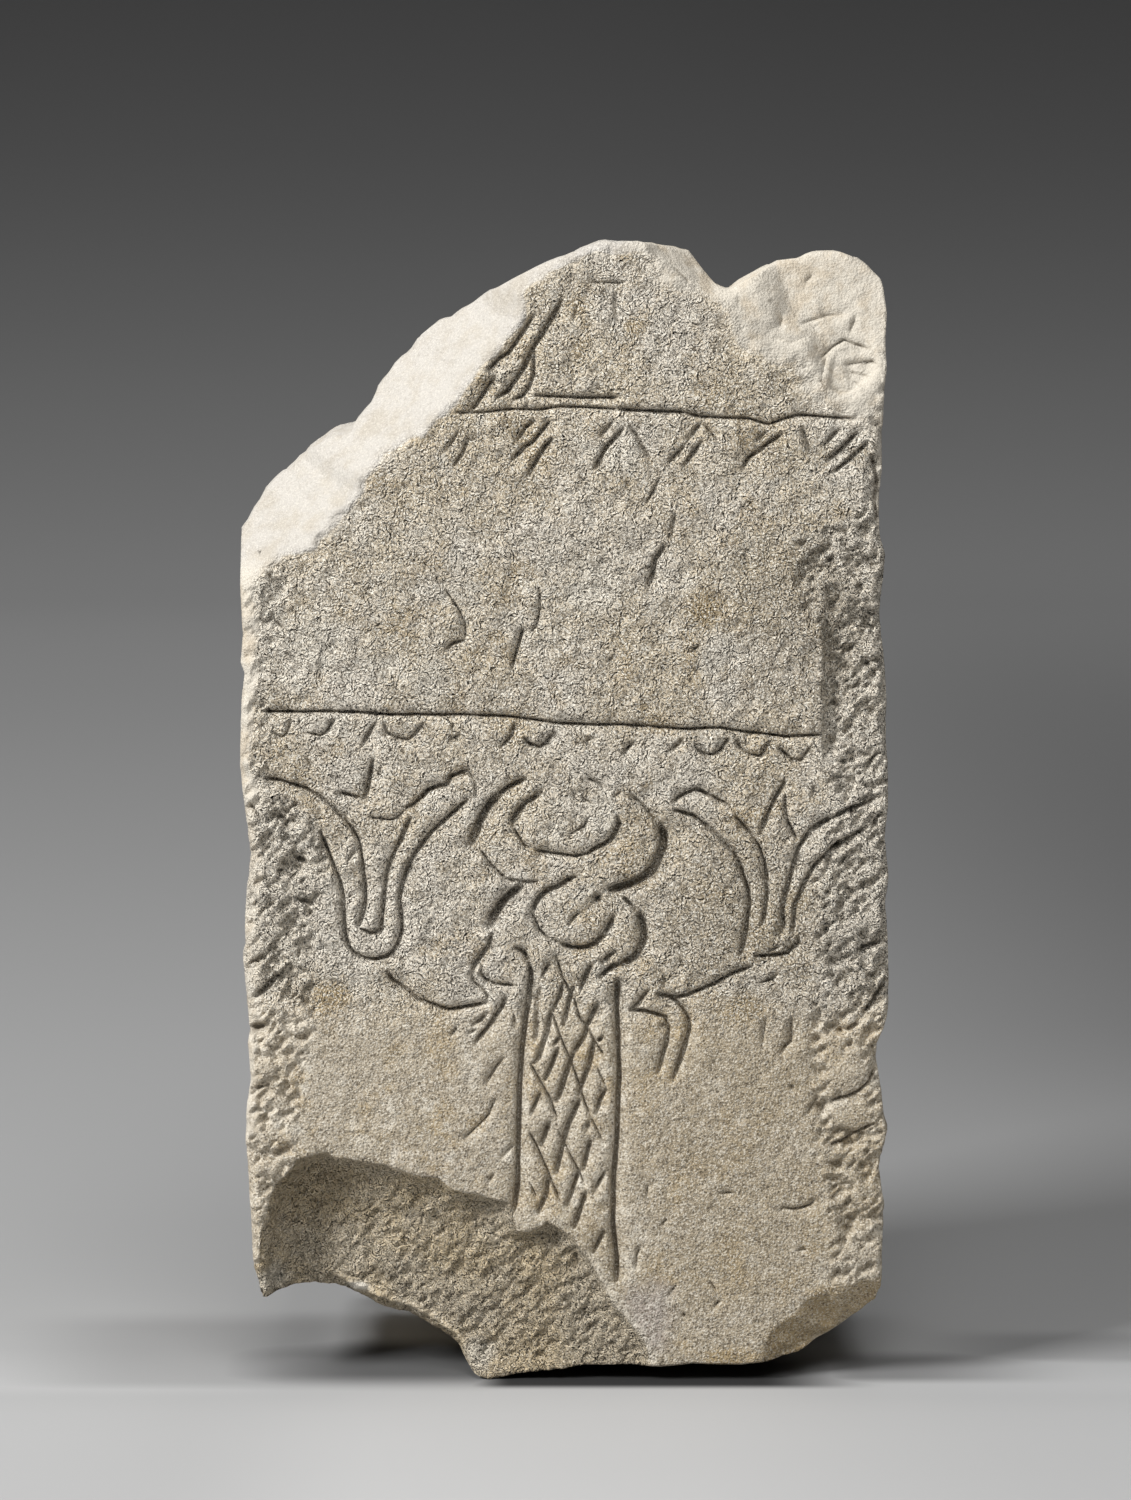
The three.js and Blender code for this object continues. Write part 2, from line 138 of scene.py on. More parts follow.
# Where the breaks and rough places meet the face
BREAK_LINE = [
    (-84, 196), (-79.5, 201), (-77, 208), (-74, 211), (-70, 213), (-66, 214.5), (-62, 216),
    (-61, 219), (-58, 221.5), (-56, 224.5), (-53, 226), (-50, 231), (-50, 234), (-46.5, 236),
    (-44, 239), (-40, 241), (-37, 243), (-34, 245), (-32, 248), (-29, 250.5), (-26, 253.5),
    (-22.5, 257.5), (-21, 260), (-18.6, 263), (-16, 265), (-13.6, 266.8), (-11.8, 270), (-10, 272),
    (-8.5, 277), (-8, 280), (-5, 282.5), (-1, 286), (3, 288.5), (6, 290.5), (9, 292), (13, 292.8),
    (18, 292.6), (24, 296),
]
CREST_BREAK = [
    (18, 296), (20.5, 290), (23, 288), (25.5, 286), (28, 284), (31, 281.5), (34, 279), (37, 277.5),
    (39.5, 276.5), (41, 276), (43.5, 273.5), (45.5, 271.5), (48, 267), (52, 265), (59, 265),
    (63, 259), (66, 254.5), (71, 252.5), (78, 252), (85, 253), (120, 253), (120, 320), (18, 320),
]
NOTCH_VALLEY = [(38, 290), (41, 282), (43, 277)]
SPALL_SMOOTH = [
    (68.5, 267), (66.5, 262), (65.7, 256.8), (69.1, 254.8), (72, 255.1), (74.1, 256.6),
    (76.6, 258.8), (79.1, 261), (79.5, 266), (75, 268),
]
HOLLOW_LINE = [
    (-90, 30), (-79, 31), (-78.6, 40), (-76.8, 44.6), (-76.1, 48.6), (-74.6, 52.1), (-72.1, 54.3),
    (-70.2, 56.4), (-68.9, 59.3), (-66.8, 59.9), (-60.5, 61.1), (-58.6, 59.6), (-50.5, 58.9),
    (-44.3, 57.1), (-36.8, 54.9), (-31.8, 54.3), (-29.3, 52.1), (-25.5, 50.5), (-18, 48.9),
    (-13.6, 48), (-13, 45.5), (-12.1, 41.8), (-11.4, 40.2), (-9.3, 39.9), (-5.5, 41.1),
    (-4.3, 43), (-1.1, 41.4), (2.3, 38.6), (4.1, 36.4), (6.9, 33), (8.5, 29.9), (10.4, 26.1),
    (12.3, 22.4), (14.1, 19.9), (17.3, 16.1), (19.8, 13.6), (21.6, 10.5), (22.9, 6.1), (24, -6),
    (-90, -6),
]
CORNER_LINE = [
    (86, 28), (80.1, 27.4), (77.3, 27.7), (74.1, 25.5), (69.8, 24.9), (65.4, 23.9), (62.3, 21.8),
    (60.5, 19), (57, 16.5), (54.5, 14.2), (52.9, 12.7), (51.5, 8), (50.5, 0), (90, 0),
]

# Edges of the rough bands at heights up the sides, and, at places along x, the depth of the hollow
# and the distance over which it eases in
LEFT_BAND = [
    (0, -71), (58, -69.4), (73, -68.6), (83, -66.8), (92, -65), (95, -63.5), (120, -63),
    (135, -60), (145, -62), (151, -66), (158, -74), (186, -76), (195, -72), (208, -69), (222, -68),
]
RIGHT_BAND = [
    (0, 72), (28, 69), (56, 67), (62, 64), (135, 63.5), (150, 66), (164, 68), (167, 65.4),
    (184, 65.7), (197, 64.8), (201, 60), (220, 59), (226, 76), (262, 79), (300, 82),
]
HOLLOW_FLOOR = [
    (-82, 5), (-77, 3), (-74, 8.5), (-70, 11.5), (-65, 12), (-58, 10), (-46, 8), (-30, 6.2),
    (-14, 5), (0, 3.6), (12, 2.8), (24, 2),
]
HOLLOW_EASING = [(-74, 1.8), (-62, 3.2), (-45, 5), (-14, 2.4), (-10, 1.1)]

# Tool cuts, part by part: width, depth, then x and z of each point along the line
GABLE_CUTS = [
    (1.4, 0.9, -0.5, 278.9, -3.6, 273.3, -7.4, 267.4, -10.2, 261.8, -13.9, 256.4, -16.4, 255),
    (1.1, 0.7, -7.4, 266.8, -7.4, 260.5, -8.9, 256.8, -10.2, 255.2, -12.4, 254.4),
    (1.2, 0.5, -8.9, 253.6, -9.6, 251.8),
    (1.3, 0.8, -7.5, 275.2, -10.2, 271.1, -13.6, 266.1, -16.1, 264.6, -18.6, 261.8),
    (1.2, 0.8, -17.4, 259.9, -20.2, 255.5, -21.8, 253, -23.6, 251.4),
    (0.9, 0.6, -7, 255.4, -4, 255.2, 2.3, 254.9, 14.5, 254.8),
    (0.9, 0.3, 7.3, 283.6, 15.4, 283.5),
    (1.0, 0.3, 13.2, 280.8, 12.9, 277.4, 13.5, 274.3),
    (0.9, 0.3, 3.5, 277.4, 2.6, 274.6),
    (0.8, 0.5, -27, 251, -20.5, 251.1, -13.6, 251.9, -6.1, 251.8, -0.5, 252.7, 14.1, 251.9),
    (1.1, 0.8, 14.1, 251.9, 19.1, 251.6, 28.5, 251.3, 31, 251),
    (0.9, 0.6, 31, 251, 34.8, 250, 46.6, 249.6, 51.6, 248.1, 56.6, 249.9, 59.1, 250.5, 66.6, 249.9,
     73.2, 249.6),
]
FRIEZE_CUTS = [
    (1.0, 0.6, -23.9, 244.6, -25.2, 241.1, -27.4, 237.7),
    (0.9, 0.35, -26.4, 246.1, -29.6, 241.4),
    (1.4, 0.5, 17, 247.4, 19.5, 243.5, 22.2, 238.8),
    (1.3, 0.35, 34.8, 249, 39.2, 243.6),
    (1.3, 0.35, 60.2, 247.2, 62, 242),
    (1.1, 0.6, -7.4, 248.9, -9.3, 247.4, -11.4, 244.3),
    (1.3, 0.8, -3.6, 248.6, -7.4, 243.9, -9.9, 242.1, -12.7, 239.3),
    (1.3, 0.8, -3, 244.3, -4.9, 242.1, -6.8, 238.9, -8.6, 235.8),
    (1.1, 0.6, 12.6, 248.9, 9.4, 245.2),
    (1.3, 0.8, 14.8, 246.8, 10.7, 242.1, 7.9, 237.1),
    (1.1, 0.6, 34.8, 248.6, 31.6, 244.3),
    (1.1, 0.6, 30.1, 242.4, 26.6, 238.6),
    (1.2, 0.7, 34.8, 243.9, 32.9, 241.1, 30.4, 237.7),
    (1.4, 0.8, 54.8, 245.5, 49.1, 241.4, 46.6, 239.6, 45.1, 237.1),
    (0.9, 0.4, 51, 246.1, 48.2, 243.9),
    (1.1, 0.6, 69.4, 246.8, 65.7, 243),
    (1.3, 0.8, 73.8, 245.8, 71.3, 243.3, 66.6, 238.9),
    (1.3, 0.8, 76.3, 243.3, 72.6, 239.6, 68.2, 236.1),
]
PANEL_CUTS = [
    (0.5, 0.4, -29.6, 206.1, -26.4, 201.4, -24.9, 198, -24.8, 194.9, -25.2, 193.3),
    (1.1, 0.8, -25.2, 193.3, -28, 192.7, -29.6, 191.1),
    (0.4, 0.4, -6.1, 206.8, -5.8, 201.8, -6.8, 197.1, -8, 195.8),
    (0.8, 0.7, -10.2, 196.4, -11.4, 192.1, -13, 186.4),
    (1.6, 1.0, 25.4, 217.1, 23.2, 213.9, 22.5, 210, 21.3, 207.4),
    (0.8, 0.5, 23, 213, 21, 211.8),
    (0.5, 0.4, 24.1, 233.9, 22.9, 231.8, 21, 228.3),
    (0.4, 0.3, 28.2, 226.1, 27.3, 219.3),
    (0.5, 0.4, 32.6, 190.8, 34.4, 192.1),
    (0.6, 0.4, 12.6, 189.3, 11.3, 188),
    (0.9, 0.7, -76.1, 175.3, -69.3, 175.2, -60.5, 175.4, -49.9, 175, -44.3, 174.5, -24.9, 174.5, -15.5,
     174.1, -6.1, 173, -2.4, 172.4, 7.3, 171.9, 14.8, 171.9, 30.4, 170.8, 39.8, 171.2, 46, 170.1, 56.6,
     168.8, 65.4, 169.3),
]
ARC_CUTS = [
    (0.9, 0.5, -73.9, 170, -71.6, 168.6, -70.3, 169.6, -69.1, 173),
    (0.6, 0.4, -67.1, 173.6, -66.9, 172.1),
    (0.9, 0.5, -64.9, 169.9, -61.8, 169.1, -60.2, 170, -58.1, 173.3),
    (1.0, 0.6, -47.4, 172.7, -48.9, 170.5, -50.2, 168.3, -51.1, 166.3),
    (0.9, 0.5, -45.5, 172.4, -44.9, 169.9, -41.8, 168.3, -39.3, 168, -37.4, 169.9, -35.8, 171.9),
    (0.8, 0.4, -28.9, 168, -26.4, 169.3),
    (0.7, 0.4, -27.9, 172.1, -28.3, 170.8),
    (1.0, 0.6, -12.4, 172.4, -13, 169.3, -15.8, 166.1),
    (1.1, 0.7, -9.9, 168.6, -8.6, 167.1, -6.1, 166.1, -4.3, 167.4, -2.4, 169.9),
    (0.7, 0.3, 7.9, 168.6, 5.4, 167.4),
    (0.8, 0.5, 18.2, 167.7, 15.1, 164.6),
    (0.9, 0.5, 30.3, 168.3, 29.1, 166.8, 26.9, 165.2),
    (1.0, 0.6, 33.5, 166.1, 36, 164.3, 37.9, 164.3, 39.8, 165.2, 41.9, 168.3),
    (1.0, 0.6, 44.1, 167.7, 44.8, 166.1, 47.5, 164.2, 50.1, 163.8, 52.3, 167.4),
    (1.0, 0.6, 54.8, 165.8, 58.5, 162.7, 60.4, 162.7, 62.8, 166.1),
]
LEFT_FLOWER_CUTS = [
    (1.2, 0.9, -75.5, 158.1, -71.8, 157.5, -65.5, 155.4, -61.8, 153.3, -58, 149.9, -55.5, 147.4, -53.6,
     144.9, -52.1, 141.8, -51.4, 138, -50.6, 130.5, -50.5, 126.8, -51.1, 123.6, -52.3, 119.9),
    (1.3, 0.9, -62, 144, -60.5, 140.5, -58.3, 134.9, -57.1, 131.8, -56.3, 128, -56, 120.5, -55.8, 117.4,
     -54.9, 114.6, -53.3, 112.7, -50.5, 111.4, -47.7, 111.3, -45.2, 112.1, -43.3, 113.6, -42.1, 115.8,
     -41.4, 118.6, -41.3, 121.8, -41.9, 126.8, -41.4, 129.9, -40.5, 133, -38.9, 136.8, -37.1, 139.9,
     -34.9, 142.7, -33, 144.9, -28, 149.3, -24.6, 152.4),
    (0.6, 0.4, -49.6, 148.2, -44.3, 147.4, -42.4, 147.9, -39.9, 150.5),
    (1.4, 1.0, -39.9, 150.5, -38, 151.4, -34.3, 155.2, -31.8, 156.1, -29.6, 156.4, -28.6, 158.6, -26.8,
     159.3, -24.3, 160.2),
    (1.0, 0.4, -24.3, 160.2, -22.4, 157.4, -22.1, 153.6),
    (1.2, 0.8, -38.9, 148, -41.4, 142.4, -44.3, 136.4, -45.2, 133, -46, 125.5, -46.3, 121.8, -46.8,
     118.6, -49.3, 118, -51.8, 119.3),
    (1.4, 1.0, -48.5, 162.7, -48.9, 160.5, -50, 154.9, -50.6, 153),
    (0.7, 0.4, -46.4, 160.8, -47.1, 158.6),
    (1.6, 0.6, -57.2, 154.6, -54.9, 153.9, -51.1, 152.7),
    (1.2, 0.4, -65.2, 163, -63.6, 160.6),
    (0.8, 0.4, -52.7, 140.2, -54.9, 136.8),
    (1.2, 0.9, -44.9, 108.3, -43.9, 106.1, -38.9, 102.4, -37.1, 100.8, -31.8, 98.9, -29.3, 98.1, -26.4,
     98.6, -20.2, 99.8),
]
RIGHT_FLOWER_CUTS = [
    (1.1, 0.8, 28.2, 152.1, 29.8, 153.6, 33.8, 155.4, 36, 154.4, 42.3, 151.1),
    (1.2, 0.8, 44.1, 148, 48.2, 143.6, 50.1, 140.5, 51.3, 136.8, 51.8, 133, 52.1, 128.6, 51.3, 121.8,
     50.4, 120.2),
    (1.3, 0.9, 28.5, 150, 33.5, 148.3, 38.5, 144.3, 43.5, 139.3, 45.1, 136.1, 47.3, 129.3, 47.6, 125.5,
     47.1, 121.8, 46.6, 118, 46, 114.9, 45.1, 112.7),
    (1.2, 0.8, 56.3, 157.1, 53.5, 152.1, 51, 146.1, 50.1, 143.9),
    (1.0, 0.7, 56.5, 153.6, 56.6, 149.6, 57.3, 146.8, 59.8, 142.1),
    (1.2, 0.8, 79.6, 153.6, 77.9, 152.1, 72.9, 150.5, 68.5, 148),
    (1.8, 1.0, 68.5, 148, 65.5, 146.5, 62.9, 144.6),
    (1.3, 0.9, 62.9, 144.6, 59.8, 139.6, 57.9, 132.4, 56.3, 126.1, 56, 124.3, 56.3, 120.5, 56, 118.6),
    (1.2, 0.8, 77.9, 145.8, 73.2, 143.3, 68.5, 140.2, 64.4, 135.8, 61.3, 130.5, 59.1, 125.5, 58.8, 118.6),
    (1.2, 0.8, 60.1, 117.1, 60.1, 115.5, 57.3, 112.9, 54.8, 112.4, 49.1, 112.1),
    (0.8, 0.5, 55.1, 114.6, 52.3, 113.3),
    (1.2, 0.8, 48.2, 109.4, 43.5, 107.7, 37.9, 104.6, 31.6, 101.9, 29.1, 101.4, 24.4, 102.3),
    (0.9, 0.5, 54.8, 107.4, 53.5, 106.1, 50.4, 105.1),
]
UPPER_CRESCENT_CUTS = [
    (1.8, 1.1, -9.9, 157.9, -14.3, 155.6, -16.8, 153.6),
    (2.6, 1.7, -16.8, 153.6, -18.9, 151.1, -20.5, 148.6, -21.8, 145.8, -23.3, 141.8),
    (1.0, 0.6, -23.3, 141.8, -24.6, 140.8),
    (0.7, 0.5, -21.4, 140.2, -18.6, 136.1, -13.9, 131.4),
    (1.2, 0.5, 17.3, 153.9, 21, 150.5, 24.8, 145.5),
    (2.6, 1.7, 24.8, 145.5, 25.7, 143, 25.5, 140.5, 23.5, 135.5, 21.6, 133.6, 19.8, 132.1, 17.3, 130.8,
     12.4, 129.4),
    (1.5, 1.0, -5.8, 154.6, -7.4, 153, -9.6, 151.8, -11.4, 149.9, -13, 147.4, -12.8, 145.8),
    (0.8, 0.5, -12.8, 145.8, -11.4, 143.3, -9.9, 140.8, -7.4, 139.6),
    (1.0, 0.7, -7.4, 139.6, -4.3, 138.9, 2.9, 138, 6, 138.6),
    (1.5, 1.0, 6, 138.6, 8.5, 140.2, 11, 141.4, 12.6, 143, 14.3, 146.4, 13.8, 148),
    (0.8, 0.4, 6.3, 158, 8.5, 157.1, 11, 155.8),
    (0.8, 0.3, 4.8, 153, 7.9, 151.4),
    (0.7, 0.3, 12.9, 153.3, 14.8, 154.6),
    (0.8, 0.3, 2.3, 154.9, 2.9, 153),
    (0.5, 0.4, 6.3, 147.7, 5.4, 145.8, 1.9, 143.9),
]
LOWER_CRESCENT_CUTS = [
    (1.2, 0.6, -15.2, 132.1, -10.5, 131.4, -6.8, 131.4),
    (2.8, 1.8, -11.1, 129.9, -13, 128.6, -14.9, 126.8, -17.7, 123, -18.5, 120.5),
    (1.3, 0.8, -18.3, 118, -18.9, 115.5, -20.5, 113, -22.7, 109.9, -23.6, 107.7),
    (0.8, 0.4, -23.6, 107.7, -23, 105.5, -20.5, 103.3, -19.3, 101.8, -19.6, 99.9),
    (1.5, 1.0, 2.9, 132.7, 1.1, 131.8, -1.4, 130.2, -3.9, 129.3, -6.1, 127.4, -7.4, 124.9, -7.9, 123),
    (0.9, 0.6, -7.9, 123, -6.1, 118.9, -3.9, 116.8, -0.5, 115.2),
    (1.4, 1.0, -0.5, 115.2, 2.3, 114.3, 5.4, 114.3, 8.2, 115.5, 10.4, 117.7, 11.9, 120.2, 12.8, 122.4),
    (3.4, 1.3, 8.6, 127.3, 9.1, 126.8),
    (1.2, 0.8, 14.8, 128, 17.3, 125.5, 19.4, 123),
    (2.3, 1.5, 19.4, 123, 20.5, 119.9, 20.7, 116.8, 19.8, 114.3, 18.2, 111.8, 15.4, 110.2),
    (1.6, 1.0, 15.4, 110.2, 12.9, 109.6, 9.4, 106.8),
    (1.3, 0.8, 13.2, 113.3, 11.6, 112.1, 10.1, 110.5),
    (0.8, 0.5, 4.1, 123.6, 2.9, 122.4, 1.6, 120.5),
]
COLUMN_CUTS = [
    (1.5, 0.9, -12.1, 114.3, -10.2, 113.3, -8.9, 111.1, -8.6, 109.9),
    (1.5, 1.5, -8.6, 109.9, -8.3, 106.8, -9.1, 99.3, -9.6, 96.1, -10.6, 88, -11.3, 78, -11.6, 63, -11.8,
     51.8, -12.7, 45.5),
    (1.5, 1.5, 13.8, 105.5, 13.7, 99.3, 14, 91.8, 14.4, 80.5, 14.1, 76.8, 13.8, 63.6, 13, 54.9, 12.8,
     41.8, 13.8, 33, 13.8, 27),
]
# Lattice of the column: broad slanting cuts one way and thin lines the other way
LATTICE_CUTS = [
    (1.15, 0.9, -3.9, 109.9, -5.2, 107.1),
    (1.3, 1.0, -0.2, 104.6, -0.8, 101.8, -2.7, 97.7),
    (1.3, 1.0, 2.6, 104, 1.7, 101.1, 0.1, 94.3),
    (1.44, 1.0, -3.3, 97.4, -3.9, 93, -6.4, 85.5, -7.4, 84.3),
    (1.15, 0.9, -0.8, 91.1, -2.4, 88.9),
    (1.3, 1.0, -1.4, 88, -2.7, 84.3, -4.6, 79.9),
    (1.44, 1.1, 2.6, 86.8, 1.1, 82.4, -1.1, 75.5, -1.9, 74.3),
    (1.15, 0.9, -6.1, 76.1, -8.3, 70.8),
    (1.3, 1.0, -3.6, 68.6, -5.8, 62.4),
    (1.44, 1.1, 4.1, 74.3, 1.3, 68, 0.1, 63.6, -1.8, 55.5),
    (1.22, 1.0, 7.0, 109.5, 5.5, 106.5, 4.5, 103.5),
    (1.37, 1.0, 8.8, 99.6, 6.3, 94.3, 5.4, 91.1, 2.6, 86.8),
    (1.37, 1.0, 7.9, 89.9, 6.6, 83, 5.4, 80.5, 4.1, 76),
    (1.01, 0.8, 10.1, 91.1, 8.8, 89.6),
    (1.15, 0.9, 11, 77.4, 9.4, 74.3, 8.5, 71.1),
    (1.3, 0.7, 6.4, 68.6, 6.1, 66.8),
    (1.3, 1.0, 6.9, 63.6, 5.1, 56.1),
    (1.15, 0.9, 10.7, 55.5, 7.9, 50.5),
    (1.3, 1.0, -3.9, 54.3, -4.3, 49.9, -6.4, 44.9),
    (1.3, 1.0, 4.1, 56.1, 2.9, 52.4, 1, 46.8),
    (1.3, 1.0, 5.7, 49.9, 2.9, 41.1),
    (1.15, 0.9, 10.4, 39.9, 7.9, 34.3),
    (0.75, 0.6, -1.9, 112.1, 0.1, 106.1, 1, 104.5, 2.4, 101.2),
    (0.75, 0.6, -3, 97.8, -0.9, 91.5, 1.6, 85.5, 3, 82, 5.5, 74, 6.9, 70.5),
    (0.75, 0.6, 2.6, 102, 4.1, 96.1, 6.3, 93.5, 8, 90, 10.6, 86),
    (0.75, 0.6, -8.6, 84.3, -6.8, 81.1, -3.3, 74.9, -2.4, 71.8, -1.4, 69.6),
    (0.75, 0.6, -8.8, 66.1, -6.8, 62.4, -3.9, 55.5, -3, 53, -0.8, 48),
    (0.75, 0.6, -1.2, 66, 1.9, 59.9, 4.4, 55, 5.6, 52),
    (0.6, 0.4, -8.4, 103, -5.9, 97.6, -4.4, 93.5),
    (0.6, 0.4, 6.9, 70.5, 10.4, 63.2),
    (0.6, 0.4, 8.4, 83.6, 11, 78),
    (0.6, 0.4, -8.6, 52.6, -6.6, 48.4),
    (2.6, 0.5, -6.3, 103.5, -7, 90),
]
HOOK_CUTS = [
    (1.0, 0.6, -20.8, 109.3, -21.1, 107.7, -19.9, 106.1, -17.4, 104.9, -12.1, 104.4),
    (1.3, 0.9, -14.9, 101.1, -15.8, 98.6, -19.3, 93.6, -22.4, 89.9),
    (1.1, 0.7, -19.6, 97.4, -21.1, 95.5, -23, 94.3),
    (0.8, 0.5, -22.4, 93, -24.3, 92),
    (0.7, 0.4, -27.4, 93.3, -28.9, 91.4),
    (0.7, 0.4, -12.7, 96.8, -12.4, 93.6),
    (0.9, 0.5, -15.5, 85.5, -17.4, 83, -19.9, 78.9),
    (0.4, 0.35, -17.5, 74.9, -19.3, 70.5, -22.4, 67.4, -25.5, 64.6),
    (0.8, 0.5, -12.7, 63, -15.5, 59.9),
    (0.7, 0.4, -18.1, 54.9, -19.3, 53),
    (1.2, 0.7, 21.9, 103.3, 20.7, 101.8, 19.4, 99.9, 17.6, 98.6),
    (1.4, 1.0, 24.4, 102.3, 27.3, 101.6, 29.4, 99.9, 31, 98, 32.1, 96.1, 32.4, 93, 31, 88, 29.1, 82.4,
     28.4, 80.5),
    (1.3, 0.9, 17.3, 98, 21, 97.7, 26.3, 96.1, 27.1, 93, 26.6, 89.9, 24.4, 82),
    (2.4, 0.5, 25, 94.8, 26, 92.8),
    (0.8, 0.5, 26, 106.1, 25.4, 103.6),
    (0.9, 0.5, 58.5, 96.1, 58.4, 89.9, 56.9, 88.6, 56, 86.8),
    (0.7, 0.25, 52, 96, 51, 89),
    (1.0, 0.5, 58.6, 78.2, 59, 78),
    (0.8, 0.4, 65.7, 75.5, 62.9, 71.1),
    (0.5, 0.4, 19.9, 35.8, 19, 33.6, 18.7, 29.9),
    (0.5, 0.4, 40.7, 49.9, 42.6, 50.2, 44.1, 49.9),
    (0.7, 0.5, 56.6, 46.3, 59.1, 45.7, 61.6, 46.1, 63.8, 46.9, 64.8, 48.3),
    (0.4, 0.3, 21.8, 52.1, 21.5, 48.9),
    (0.4, 0.3, 25.4, 41.8, 26.6, 43),
    (0.4, 0.3, 39.1, 19.9, 40.7, 21.8),
    (0.4, 0.3, 37.9, 26.8, 40, 23.6),
    (0.4, 0.3, 27.9, 23.9, 29.1, 25.5),
    (0.7, 0.4, 31.1, 17.7, 31.5, 17.7),
    (0.5, 0.3, 61, 34.9, 62.9, 35.2),
]
# Cracks in the broken crest
CREST_CUTS = [
    (0.5, 0.7, 64.6, 264.5, 66.5, 266.2, 67.9, 267.4, 70.8, 269.1, 72.6, 268.3, 77.5, 266.8),
    (0.6, 0.5, 71.9, 270.5, 73.8, 274.9),
    (0.5, 0.4, 54.4, 272.4, 55, 274.3),
    (0.7, 0.4, 61, 283.3, 63.2, 285.5),
    (0.6, 0.5, 27.3, 287.7, 29.5, 285.6, 32, 283),
    (0.4, 0.1, 53, 270, 57, 268.5, 61, 270),
    (0.6, 0.5, 75, 262.5, 77.5, 263.8, 79.5, 263),
    (0.6, 0.3, 43.8, 280, 44, 278),
    (0.5, 0.3, 60, 273, 66, 275, 70.8, 275.4),
    (0.4, 0.3, 66.3, 265.7, 64.6, 259.4, 66.3, 256.6),
    (0.4, 0.4, 70.8, 262.8, 78, 263.9),
    (0.4, 0.3, 71.3, 261.1, 77.5, 259.9),
    (0.4, 0.3, 72, 259.4, 76.4, 257.1),
    (0.4, 0.2, 32, 283, 36, 279.5, 40, 277.2),
]
# Cracks and chips beside the carving: the right edge and both bands
CHIP_CUTS = [
    (1.0, 0.8, 77.6, 240.2, 79.1, 234, 78.5, 229, 79.1, 222.7),
    (0.9, 0.8, 69.1, 74.6, 72.9, 75.5, 76, 77, 78.5, 79.3, 80, 82.4),
    (0.9, 0.8, 69.1, 63, 72.9, 64.3, 76.6, 66.8, 79.8, 68.3),
    (1.4, 0.9, 77, 97.5, 80, 101, 82.5, 106),
    (1.4, 0.8, 75.5, 113.8, 82, 115.6),
    (1.2, 0.7, 79.8, 164.9, 78.5, 162.4, 76.6, 159.6),
    (0.8, 0.5, 63.8, 156.1, 63.5, 153.9),
    (1.4, 0.8, 78.8, 145.3, 80.2, 148.3),
    (2.0, 1.2, -73.3, 106.8, -78.6, 101.8),
    (2.6, 1.4, -80.4, 92.4, -76.5, 94),
    (1.2, 0.6, -80, 77.2, -75.8, 78.2),
    (1.6, 0.9, -71.6, 148, -69.8, 145.6),
    (1.2, 0.7, -72.4, 134.8, -72, 133.8),
    (1.6, 0.9, -69, 138, -64.6, 136),
    (1.4, 0.8, -68, 127.2, -64.6, 125.6),
    (0.8, 0.6, -79.9, 151.8, -77, 147.4),
    (1.4, 0.3, -75, 211, -70.6, 206),
    (1.2, 0.3, -73.3, 199, -70.2, 195.8),
    (1.0, 0.2, -66.6, 205.3, -64.4, 203.9),
    (1.1, 0.2, -69.8, 190, -66.4, 186.3),
]

ALL_CUTS = [
    *GABLE_CUTS, *FRIEZE_CUTS, *PANEL_CUTS, *ARC_CUTS, *LEFT_FLOWER_CUTS, *RIGHT_FLOWER_CUTS,
    *UPPER_CRESCENT_CUTS, *LOWER_CRESCENT_CUTS, *COLUMN_CUTS, *LATTICE_CUTS, *HOOK_CUTS, *CHIP_CUTS,
]

# Single pits: x and z, radius and depth
PITS = [
    (60.2, 208.4, 2.4, 1.3), (61.2, 201.3, 1.8, 1.0), (61.6, 220, 1.6, 0.7), (77.9, 262.4, 0.9, 0.5),
    (78.2, 272.3, 0.8, 0.4), (55, 118, 1.5, 0.8), (31.3, 17.7, 0.6, 0.4), (10.2, 46, 1.8, 0.5),
]

# Proud slabs left between the pick marks: middle x and z, half width, half height
SLABS = [(74, 81.5, 6, 6.5), (74.5, 70.5, 6.5, 4), (-76.5, 103.5, 4.2, 4.6), (77.5, 170, 4, 5)]

# Coloured places: middle x and z, half width, half height
PALE_PLACES = [
    (-34, 183, 4.5, 7), (-45, 187.5, 6, 3), (-63, 194, 9, 8), (8, 207, 9, 8), (15, 239.5, 6, 4.5),
    (37.5, 189, 3.5, 6.5), (42, 192.5, 2.5, 3), (14, 214, 1.6, 1.6), (10, 148, 5, 6),
    (-22, 6.5, 4.5, 5), (-76, 26, 5, 4.5), (-53.3, 22.8, 4, 2.2),
]
FRESH_PLACES = [(70, 260, 12, 8), (30, 286, 8, 6), (-53.3, 22.8, 3, 1.6)]
STAIN_PLACES = [
    (18, 272.5, 3, 3.2), (36, 202, 7, 6), (43.5, 6.5, 9, 2.6), (62, 10.2, 3, 2),
    (72, 23.5, 10, 2.6), (-60, 101, 9, 5), (46, 98, 8, 5),
]
# Warmer tone with painted dimming, where the light falls off towards the right
TAN_AND_FALLOFF_PLACES = [
    (50, 62, 34, 52), (46, 122, 26, 22), (60, 200, 18, 26), (2, 26, 22, 18), (75, 58, 9, 26),
]
VIOLET_PLACES = [(22.5, 18, 7, 10), (23.5, 12.3, 4.5, 3.4)]

